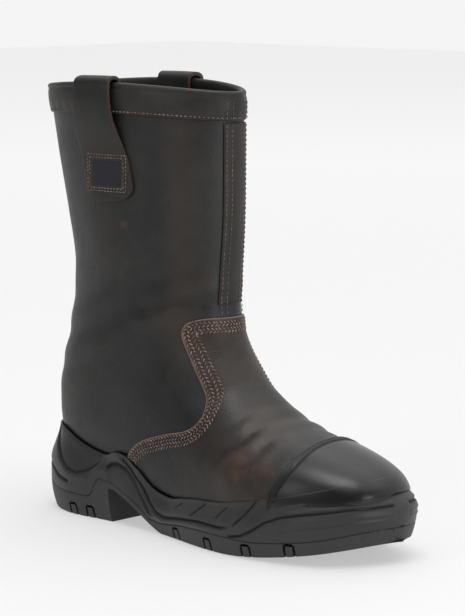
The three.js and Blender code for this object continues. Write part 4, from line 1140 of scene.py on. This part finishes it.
def arch_prisms():
    """The dark gap round the block that ends each slot, square to the wall."""
    bm = bmesh.new()
    half, gap, rise = 4.3, 1.9, 9.2
    ways = [way_at(along * SOLE_LENGTH) + 0.13 for along in SLOT_AT[:-1]]
    ways += [way_at(along * SOLE_LENGTH, True) + 0.13 for along in SLOT_AT[:-1]] + [TOE_WAY - 11.3, TOE_WAY + 36]
    for way in ways:
        at, out = plan_at(np.array([float(way)]))
        at, out = at[0], out[0]
        along = np.array([-out[1], out[0]])
        floor = float(base_height(at[0]))
        start = at - out * 8.5
        profile = [(-half - 0.4, -8), (-half, rise - 1.6), (-half + 1.7, rise), (half - 1.7, rise),
                   (half, rise - 1.6), (half + 0.4, -8), (half - gap + 0.4, -8), (half - gap, rise - gap),
                   (gap - half, rise - gap), (gap - half - 0.4, -8)]
        pushed(bm, [(*(start + along * a), floor + b if b > 0 else b) for a, b in profile],
               (*(out * 12), 0))
    return bm


def cut_by(body, cutters):
    """The body's mesh with each cutter taken out of it."""
    def as_object(name, bm):
        mesh = bpy.data.meshes.new(name)
        face_outwards(bm)
        bm.to_mesh(mesh)
        bm.free()
        made = bpy.data.objects.new(name, mesh)
        bpy.context.scene.collection.objects.link(made)
        return made

    whole = as_object("uncut", body)
    tools = [as_object("cutter", bm) for bm in cutters]
    for tool in tools:
        cut = whole.modifiers.new("cut", "BOOLEAN")
        cut.operation, cut.solver, cut.object = "DIFFERENCE", "FAST", tool
    bpy.context.view_layer.update()
    result = bmesh.new()
    result.from_object(whole, bpy.context.evaluated_depsgraph_get())
    for made in [whole, *tools]:
        bpy.data.objects.remove(made)
    return result


bm = cut_by(bm, [slot_prisms(), channel_prisms(), arch_prisms()])
print("after the cuts: %d faces" % len(bm.faces))
tread = finished(bm, "tread", ["outsole"], [TREAD_RUBBER])
tread.data.set_sharp_from_angle(angle=math.radians(32))

# %% [markdown]
# ## The footbed
# Inside lies a thin moulded footbed with a fabric top. Rays from the middle of the foot find the leather on
# both sides, so its edge follows the upper. It is dished a little at the heel and turned up at the rim.

# %% Footbed
SKINS[-2.9] = form_tree(-2.9)


def footbed_halves(xs):
    halves = []
    for x in xs:
        found = []
        for side in (-1, 1):
            reach = [SKINS[-2.9].ray_cast(Vector((x, 0, float(seat_height(x)) + h)), Vector((0, side, 0)))[3]
                     for h in (4.0, 6.5)]
            found.append(side * min([r for r in reach if r is not None] or [1.0]))
        halves.append(found)
    return np.array(halves)


BED_X = np.linspace(0.045, 0.955, 90) * FOOT_LENGTH
BED_SIDES = footbed_halves(BED_X)


def footbed_point(u, w):
    x = mix(BED_X[0], BED_X[-1], w)
    low, high = np.interp(x, BED_X, BED_SIDES[:, 0]), np.interp(x, BED_X, BED_SIDES[:, 1])
    y = mix(low + 0.3, high - 0.3, u)
    dish = (2 * u - 1) ** 2
    return np.stack([x, y, seat_height(x) + 5.7 + 0.8 * dish * dish], -1)


bm = grid_mesh(30, 110, footbed_point)
turn_outwards(bm, Vector(metres([150, 0, -200])))
footbed = finished(bm, "footbed", ["insole"], [FOOTBED])
thicken(footbed, 2.8)

# %% [markdown]
# ## Collar binding
# The top of the shaft is bound with a strip of thinner leather. It is folded over the edge and sewn through
# below, so it is tight at its stitch line, a little full above it, and rolls over the edge as a small bead.
# Its section is a short list of offsets and drops; a grid carries that section round the collar.

# %% Binding
LEVEL_S = np.linspace(10, COLLAR_ROW, 400)
LEVELS = last_point(LEVEL_S, np.pi / 2, 0.0)[:, 2]


def shaft_point(drop, share, offset):
    """Point of the shaft at a drop below the collar, or above it where drop is negative."""
    s = np.interp(SHAFT_HEIGHT - np.maximum(drop, 0), LEVELS, LEVEL_S)
    point = form(s, share, offset)
    point[..., 2] += np.maximum(0, -np.asarray(drop, float))
    return point


def binding_profile():
    outside = [(0.35, 20.0), (1.2, 20.05), (1.6, 19.6), (1.55, 18.6), (1.5, 17.9), (1.75, 16.8), (2.0, 14.5),
               (2.15, 11.5), (2.1, 8.5), (1.85, 5.4), (1.45, 3.7), (1.25, 3.05)]
    bead = [(-1.1 + 2.55 * math.cos(a), 0.9 - 2.3 * math.sin(a)) for a in np.linspace(-0.55, math.pi - 0.05, 14)]
    inside = [(-3.75, 2.2), (-3.72, 8.6), (-3.4, 9.1), (-2.6, 9.0), (-2.5, 1.0), (0.3, 1.0)]
    return np.array(outside + bead + inside + outside[:1])


PROFILE = binding_profile()
BINDING_STEPS = 300


def binding_table():
    share = np.linspace(0, 1, BINDING_STEPS, endpoint=False)
    rows = []
    for offset, drop in PROFILE:
        pull = 0.22 * np.sin(share * 2 * np.pi * 34) * math.exp(-((drop - 16.5) / 3) ** 2) * (offset > 1)
        rows.append(shaft_point(np.full(len(share), drop), share, offset + pull))
    return np.array(rows)


bm = ring_mesh(binding_table())
bmesh.ops.remove_doubles(bm, verts=bm.verts, dist=2e-6)
face_outwards(bm)
collar_binding = finished(bm, "collar_binding", ["collar_band"], [TRIM_LEATHER])

# %% [markdown]
# ## The strip down the front
# A narrow strip covers the shaft's front seam, from the vamp up to the binding. Its middle follows the
# shaft's slight turn.

# %% Front strip
STRIP_WIDTH, STRIP_FACE = 23.0, CLEARANCE + 1.3
STRIP_LOW = 0.93 * THROAT_HEIGHT + CLEARANCE


def strip_middle(z):
    return (ANKLE_FRONT - COLLAR_CENTRE) * np.sin(SHAFT_TWIST * smooth((z / SHAFT_HEIGHT - 0.363) / 0.396))


def inside_strip(points):
    x, y, z = np.moveaxis(points, -1, 0)
    across = STRIP_WIDTH / 2 - np.abs(y - strip_middle(z))
    return np.minimum(np.minimum(across, z - STRIP_LOW), 278.2 - z)


def strip_values(u, w, points):
    s = section_share(w)
    return wear(last_point(s, turn_at(s, u), 0.0), u)


bm = panel_mesh(70, 170, (-0.055, 0.055), (0.60, 0.97), inside_strip,
                lambda points: STRIP_FACE - 0.5 * np.exp(-np.maximum(inside_strip(points), 0) / 0.7), strip_values)
front_strip = finished(bm, "front_seam_strip", ["front_strip"], [TRIM_LEATHER, RED_EDGE])
thicken(front_strip, 1.1, rim=1)

# %% [markdown]
# ## Pull loops
# Each loop is one strap. It starts inside the shaft, passes over the collar with room for a finger, leans
# forward and flares to a rounded end that is sewn to the outside. One path down its middle and the strap's
# width at each place are enough; a Solidify modifier gives it its thickness and red-brown edges.

# %% Loops
LOOP = np.array([
    # drop, lean, flare, end, stand
    (0.00, 0.00, 0.00, 1.00, 0.85), (0.12, 0.02, 0.10, 1.00, 1.00), (0.28, 0.08, 0.30, 1.00, 0.85),
    (0.42, 0.20, 0.60, 1.00, 0.45), (0.56, 0.42, 0.90, 1.00, 0.10), (0.66, 0.62, 1.00, 1.00, 0.00),
    (0.84, 0.86, 1.00, 1.00, 0.00), (0.95, 0.97, 1.00, 0.88, 0.00), (1.00, 1.00, 1.00, 0.55, 0.00)])
LOOP_WIDTH, PADDLE_WIDTH, LOOP_THICKNESS, LOOP_DROP, LOOP_INSIDE = 30.0, 40.0, 2.5, 79.0, 38.0
LOOP_RISE, STANDOFF, LOOP_LEAN, LOOP_AT = 5.8, 5.5, 12.0, 0.245 * FOOT_LENGTH
HALF_STRAP = LOOP_THICKNESS / 2
SEATED, PASSING = -(WALL + 0.6 + HALF_STRAP), -(WALL + CLEARANCE + 1.2 + 1.0 + HALF_STRAP)
OUTSIDE = CLEARANCE + HALF_STRAP


def loop_path():
    """Rows of offset, drop, width and middle x down the strap, inside end first."""
    rows = [(SEATED, LOOP_INSIDE), (SEATED, 24.0), (SEATED - 0.1, 17.7), (PASSING + 0.15, 11.5), (PASSING, 8.0),
            (PASSING, 3.0), (PASSING, 0.0)]
    rim = OUTSIDE + LOOP[0, 4] * STANDOFF
    reach = (rim - PASSING) / 2
    for turn in np.linspace(np.pi, 0, 13)[1:-1]:
        rows.append((PASSING + reach + reach * math.cos(turn), -(LOOP_RISE - HALF_STRAP) * math.sin(turn) ** 0.8))
    path = [(offset, drop, LOOP_WIDTH, LOOP_AT) for offset, drop in rows]
    for share in np.linspace(0, 1, 56):
        lean, flare, end, stand = (float(follow(LOOP[:, (0, k)], share)) for k in (1, 2, 3, 4))
        if share > 0.86:
            end = math.sqrt(max(0.0, 1 - ((share - 0.86) / 0.143) ** 2)) ** 0.8
        width = mix(LOOP_WIDTH, PADDLE_WIDTH, flare) * end
        path.append((OUTSIDE + stand * STANDOFF, share * LOOP_DROP, width, LOOP_AT + lean * LOOP_LEAN))
    return np.array(path)


def share_at_x(drop, x, side):
    """Share of the way round the shaft where its side is at x, for one drop."""
    shares = (0.25 if side == "outer" else 0.75) + np.linspace(-0.16, 0.16, 241)
    xs = shaft_point(np.full(241, max(drop, 0.0)), shares, 0.0)[:, 0]
    order = np.argsort(xs)
    return np.interp(x, xs[order], shares[order])


def strap_points(side, across, path, lift=0.0):
    """Points of the strap's middle sheet, or lifted off it: one row for each row of the path."""
    rows = []
    for offset, drop, width, middle in path:
        share = share_at_x(drop, middle + width * across, side)
        rows.append(shaft_point(np.full(len(share), drop), share, offset + lift))
    return np.array(rows)


def sheet_mesh(points):
    """A sheet of faces through a table of points, rows by columns."""
    rows, columns = points.shape[:2]
    places = metres(points)
    bm = bmesh.new()
    bmesh.ops.create_grid(bm, x_segments=columns - 1, y_segments=rows - 1, size=0.5)
    for vertex in bm.verts:
        column = round((vertex.co.x + 0.5) * (columns - 1))
        vertex.co = places[round((vertex.co.y + 0.5) * (rows - 1)), column]
    return bm


LOOP_PATH = loop_path()
ACROSS = np.linspace(-0.5, 0.5, 25)
LOOPS = {}
for side in ("outer", "inner"):
    bm = sheet_mesh(strap_points(side, ACROSS, LOOP_PATH))
    bm.normal_update()
    top = min(bm.faces, key=lambda f: -f.calc_center_median().z)
    if top.normal.z < 0:
        bmesh.ops.reverse_faces(bm, faces=bm.faces)
    strap = finished(bm, "pull_strap_" + side, ["pull_loop_" + side], [TRIM_LEATHER, RED_EDGE])
    thicken(strap, LOOP_THICKNESS, offset=0.0, rim=1)
    rounded = strap.modifiers.new("worn_edges", "BEVEL")
    rounded.width, rounded.segments, rounded.limit_method = 0.0004, 2, "ANGLE"
    rounded.angle_limit = math.radians(50)
    LOOPS[side] = strap

# %% [markdown]
# ## A bare patch on the outer strap
# A small woven patch is sewn to the strap's paddle. It is left bare, in the dark violet of its ground. Its
# edge sinks into the leather under the stitches.

# %% Patch
PATCH_WIDTH, PATCH_HIGH, PATCH_LOW, PATCH_AT = 25.0, 51.5, 68.5, 84.0


def paddle_point(x, drop, lift):
    """Point on the outer strap's outside at x and a drop below the collar."""
    x, drop, lift = np.broadcast_arrays(np.asarray(x, float), np.asarray(drop, float), lift)
    stand = follow(LOOP[:, (0, 4)], drop / LOOP_DROP)
    points = np.zeros(x.shape + (3,))
    for place in np.ndindex(x.shape):
        share = share_at_x(float(drop[place]), x[place], "outer")
        points[place] = shaft_point(float(drop[place]), share,
                                    OUTSIDE + HALF_STRAP + float(stand[place]) * STANDOFF
                                    + float(lift[place]))
    return points


def patch_points():
    x, drop = np.meshgrid(PATCH_AT + PATCH_WIDTH * np.linspace(-0.5, 0.5, 17), np.linspace(PATCH_HIGH, PATCH_LOW, 13))
    edge = np.minimum(PATCH_WIDTH / 2 - np.abs(x - PATCH_AT), np.minimum(drop - PATCH_HIGH, PATCH_LOW - drop))
    return paddle_point(x, drop, 0.35 - 0.3 * np.exp(-edge / 0.6))


bm = sheet_mesh(patch_points())
bm.normal_update()
turn_outwards(bm, Vector(metres([84, 0, 242])))
patch = finished(bm, "bare_patch", [], [PATCH])
thicken(patch, 0.5)

# %% [markdown]
# ## Stitches
# The thread lies on the leather as rows of short, slightly slanted stitches. One stitch is a sphere with a
# few faces, drawn out along the seam; each row places copies of it at an even pitch. Rays find the leather
# under each stitch, so the rows follow every crease.

# %% Rows of stitches

def on_leather(origins, direction, lift):
    """Points of the creased leather where rays meet it, lifted off it, and its normals there."""
    places, normals = [], []
    for origin in origins:
        hit, normal, _, _ = CREASED.ray_cast(Vector(origin), Vector(direction))
        if hit is None:
            continue
        normal = normal if normal.dot(Vector(direction)) < 0 else -normal
        places.append(np.array(hit) + np.array(normal) * lift)
        normals.append(np.array(normal))
    return np.array(places), np.array(normals)


def creased_tree():
    bm = grid_mesh(240, 280, lambda u, w: form(section_share(w), u, 0.0))
    for vertex in bm.verts:
        vertex.co = Vector(1000 * np.array(vertex.co) - ORIGIN)
    tree = BVHTree.FromBMesh(bm)
    bm.free()
    return tree


CREASED = creased_tree()


def evenly(points, normals, pitch, start=0.5):
    """The row's points at an even pitch, with normals and the seam's direction."""
    way = np.concatenate([[0], np.cumsum(np.linalg.norm(np.diff(points, axis=0), axis=1))])
    at = np.arange(start * pitch, way[-1], pitch)
    def pick(values, where):
        return np.stack([np.interp(where, way, values[:, k]) for k in range(3)], -1)
    return pick(points, at), pick(normals, at), pick(points, at + 0.6) - pick(points, at - 0.6)


def sew(bm, row, length, width, slant=0.0, height=0.6):
    """Stitches along a row of points, each turned by slant degrees on the leather."""
    for place, normal, along in zip(*row):
        up = Vector(normal).normalized()
        ahead = Vector(along)
        ahead = (ahead - up * ahead.dot(up)).normalized()
        ahead = Matrix.Rotation(math.radians(slant), 3, up) @ ahead
        turn = Matrix((ahead * length, up.cross(ahead) * width, up * height)).transposed() * 0.0005
        bmesh.ops.create_uvsphere(bm, u_segments=6, v_segments=4, radius=1.0,
                                  matrix=Matrix.Translation(metres(place)) @ turn.to_4x4())


def moved_line(line, inset):
    """A drawn line moved to its right-hand side."""
    rows = np.array(line)
    ahead = np.gradient(rows, axis=0)
    ahead /= np.linalg.norm(ahead, axis=1)[:, None]
    return rows + np.stack([ahead[:, 1], -ahead[:, 0]], -1) * inset


def vamp_row(inset, lift):
    """A row all along the vamp's edge: up the outer side, across the front, down the inner side."""
    line = moved_line(VAMP_EDGE, inset)
    way = np.concatenate([[0], np.cumsum(np.linalg.norm(np.diff(line, axis=0), axis=1))])
    at = np.arange(0, way[-1], 0.7)
    line = np.stack([np.interp(at, way, line[:, k]) for k in (0, 1)], -1)
    line = line[line[:, 1] > side_height(CUP_EDGE, line[:, 0]) + 1.0]
    sides = {}
    for side in (-1, 1):
        places, normals = [], []
        for x, z in line:
            hit, normal = on_leather([(x, side * 120, z)], (0, -side, 0), lift)
            if len(hit) == 0 or (abs(normal[0, 1]) < 0.5 and z > 130):
                break
            places.append(hit[0])
            normals.append(normal[0])
        sides[side] = (np.array(places), np.array(normals))
    z = line[-1, 1]
    ys = np.arange(sides[-1][0][-1, 1] + 0.7, sides[1][0][-1, 1] - 0.3, 0.7)
    front = on_leather([(300, y, z) for y in ys], (-1, 0, 0), lift)
    return (np.concatenate([sides[-1][0], front[0], sides[1][0][::-1]]),
            np.concatenate([sides[-1][1], front[1], sides[1][1][::-1]]))


bm = bmesh.new()
for number, inset in enumerate((2.2, 4.4, 6.8, 9.0)):
    row = vamp_row(inset, VAMP_FACE + 0.15)
    sew(bm, evenly(*row, 2.9, start=0.5 + 0.5 * (number // 2)), 2.9, 0.9, slant=40 if number % 2 else -40)
vamp_stitches = finished(bm, "vamp_stitches", [], [RUST_THREAD])

# %% Stitches of the strip, the binding and the straps
def strip_row(side_step, low, high, lift):
    zs = np.arange(low, high, 0.8)
    return on_leather([(400, float(strip_middle(z)) + side_step, z) for z in zs], (-1, 0, 0), lift)


bm = bmesh.new()
for step in (-9.6, -5.8, 5.8, 9.6):
    sew(bm, evenly(*strip_row(step, STRIP_LOW + 2, 277.0, STRIP_FACE + 0.12), 3.3), 2.3, 0.75)
    sew(bm, evenly(*strip_row(step, 280.0, 294.5, 2.2), 3.3), 2.3, 0.75)
strip_stitches = finished(bm, "strip_stitches", [], [DULL_THREAD])

bm = bmesh.new()
shares = np.linspace(0, 1, 500)
band_row = shaft_point(np.full(500, 18.1), shares, 1.6)
band_normals = shaft_point(np.full(500, 18.1), shares, 2.6) - band_row
sew(bm, evenly(band_row, band_normals, 3.1), 2.2, 0.75)
binding_stitches = finished(bm, "binding_stitches", [], [RUST_THREAD])

bm = bmesh.new()


def box_row(half_width, high, low):
    corners = [(-half_width, high), (half_width, high), (half_width, low), (-half_width, low), (-half_width, high)]
    spots = [(mix(a[0], b[0], t), mix(a[1], b[1], t)) for a, b in zip(corners, corners[1:])
             for t in np.linspace(0, 1, 24, endpoint=False)]
    spots = np.array(spots + corners[:1])
    points = paddle_point(PATCH_AT + spots[:, 0], spots[:, 1], 0.15)
    above = paddle_point(PATCH_AT + spots[:, 0], spots[:, 1], 1.15)
    return points, above - points


sew(bm, evenly(*box_row(14.4, 49.6, 70.4), 2.7), 2.0, 0.75)
sew(bm, evenly(*box_row(16.4, 47.6, 72.4), 2.7), 2.0, 0.75)
strap_stitches = finished(bm, "strap_stitches", [], [RUST_THREAD])

# %% [markdown]
# ## Floor, light and camera
# The boot stands on white paper in a white room, so its dark leather reads by what it reflects. The room is
# darker on the photographer's side, which leaves the shaft's left edge dark and the bright bands narrow. The
# paper glows a little by itself, because that keeps it one even white and still takes a soft contact shadow.
# The lens is turned to the middle of the boot from the photograph's place, so the angle to it stays the same.

# %% Stage
def stage_floor():
    bm = bmesh.new()
    bmesh.ops.create_grid(bm, x_segments=1, y_segments=1, size=6.0)
    mesh = bpy.data.meshes.new("floor")
    bm.to_mesh(mesh)
    bm.free()
    floor = bpy.data.objects.new("floor", mesh)
    bpy.context.scene.collection.objects.link(floor)
    material, tree, skin, place = new_material("matt_white_paper")
    skin.inputs["Base Color"].default_value = (0.35, 0.35, 0.35, 1)
    skin.inputs["Roughness"].default_value = 0.9
    away = add(tree, "ShaderNodeVectorMath", {0: place}, operation="LENGTH").outputs["Value"]
    glow = add(tree, "ShaderNodeMapRange", {"Value": away, "From Min": 0.2, "From Max": 3.0,
                                            "To Min": 0.46, "To Max": 0.6})
    skin.inputs["Emission Color"].default_value = (1, 1, 1, 1)
    tree.links.new(glow.outputs[0], skin.inputs["Emission Strength"])
    mesh.materials.append(material)


def soft_light(name, place, size, power, aim):
    lamp = bpy.data.lights.new(name, "AREA")
    lamp.shape, lamp.size, lamp.size_y, lamp.energy = "RECTANGLE", size[0], size[1], power
    made = bpy.data.objects.new(name, lamp)
    bpy.context.scene.collection.objects.link(made)
    made.location = place
    made.rotation_euler = (Vector(aim) - Vector(place)).to_track_quat("-Z", "Y").to_euler()


stage_floor()
soft_light("ceiling", (0.0, 0.4, 3.2), (5.0, 5.0), 70, (0, 0.3, 0))
soft_light("above", (0.25, -0.25, 1.6), (0.7, 0.7), 8, (0.05, 0, 0.1))
soft_light("outer_side", (-0.15, -1.7, 1.1), (0.5, 1.2), 5, (0, 0, 0.14))
soft_light("toe_side", (1.9, -0.25, 0.5), (0.35, 0.9), 7, (0, 0, 0.18))


def studio_world():
    """A white studio that is darker on the photographer's side."""
    world = bpy.data.worlds.new("studio")
    world.use_nodes = True
    tree = world.node_tree
    way = add(tree, "ShaderNodeTexCoord").outputs["Generated"]
    towards = add(tree, "ShaderNodeVectorMath", {0: way, 1: (0.0, -1.0, 0.0)}, operation="DOT_PRODUCT")
    dim = add(tree, "ShaderNodeMapRange", {"Value": towards.outputs["Value"], "From Min": -0.4, "From Max": 0.5,
                                           "To Min": 0.91, "To Max": 0.22}, interpolation_type="SMOOTHSTEP")
    tree.links.new(dim.outputs[0], tree.nodes["Background"].inputs["Strength"])
    tree.nodes["Background"].inputs["Color"].default_value = (1, 1, 1, 1)
    bpy.context.scene.world = world


studio_world()
bpy.context.scene.view_settings.view_transform = "Standard"

# %% Camera
ANGLE, DISTANCE, EYE_HEIGHT = math.radians(42.73), 1774.0, 403.8
TARGET = np.array([211.58, 0.0, 205.87])
flat = math.sqrt(DISTANCE**2 - (EYE_HEIGHT - TARGET[2]) ** 2)
EYE = np.array([TARGET[0] + flat * math.sin(ANGLE), TARGET[1] - flat * math.cos(ANGLE), EYE_HEIGHT])
AIM = TARGET + np.array([-25.8, -23.8, -47.5])
lens_px = 1.5 * 1792.8
camera = bpy.data.cameras.new("camera")
camera.sensor_width, camera.sensor_fit = 36.0, "AUTO"
camera.lens = 36.0 * lens_px / 616
camera.clip_end = 20
eye = bpy.data.objects.new("camera", camera)
bpy.context.scene.collection.objects.link(eye)
eye.location = metres(EYE)
eye.rotation_euler = (Vector(metres(AIM)) - Vector(metres(EYE))).to_track_quat("-Z", "Y").to_euler()
bpy.context.scene.camera = eye
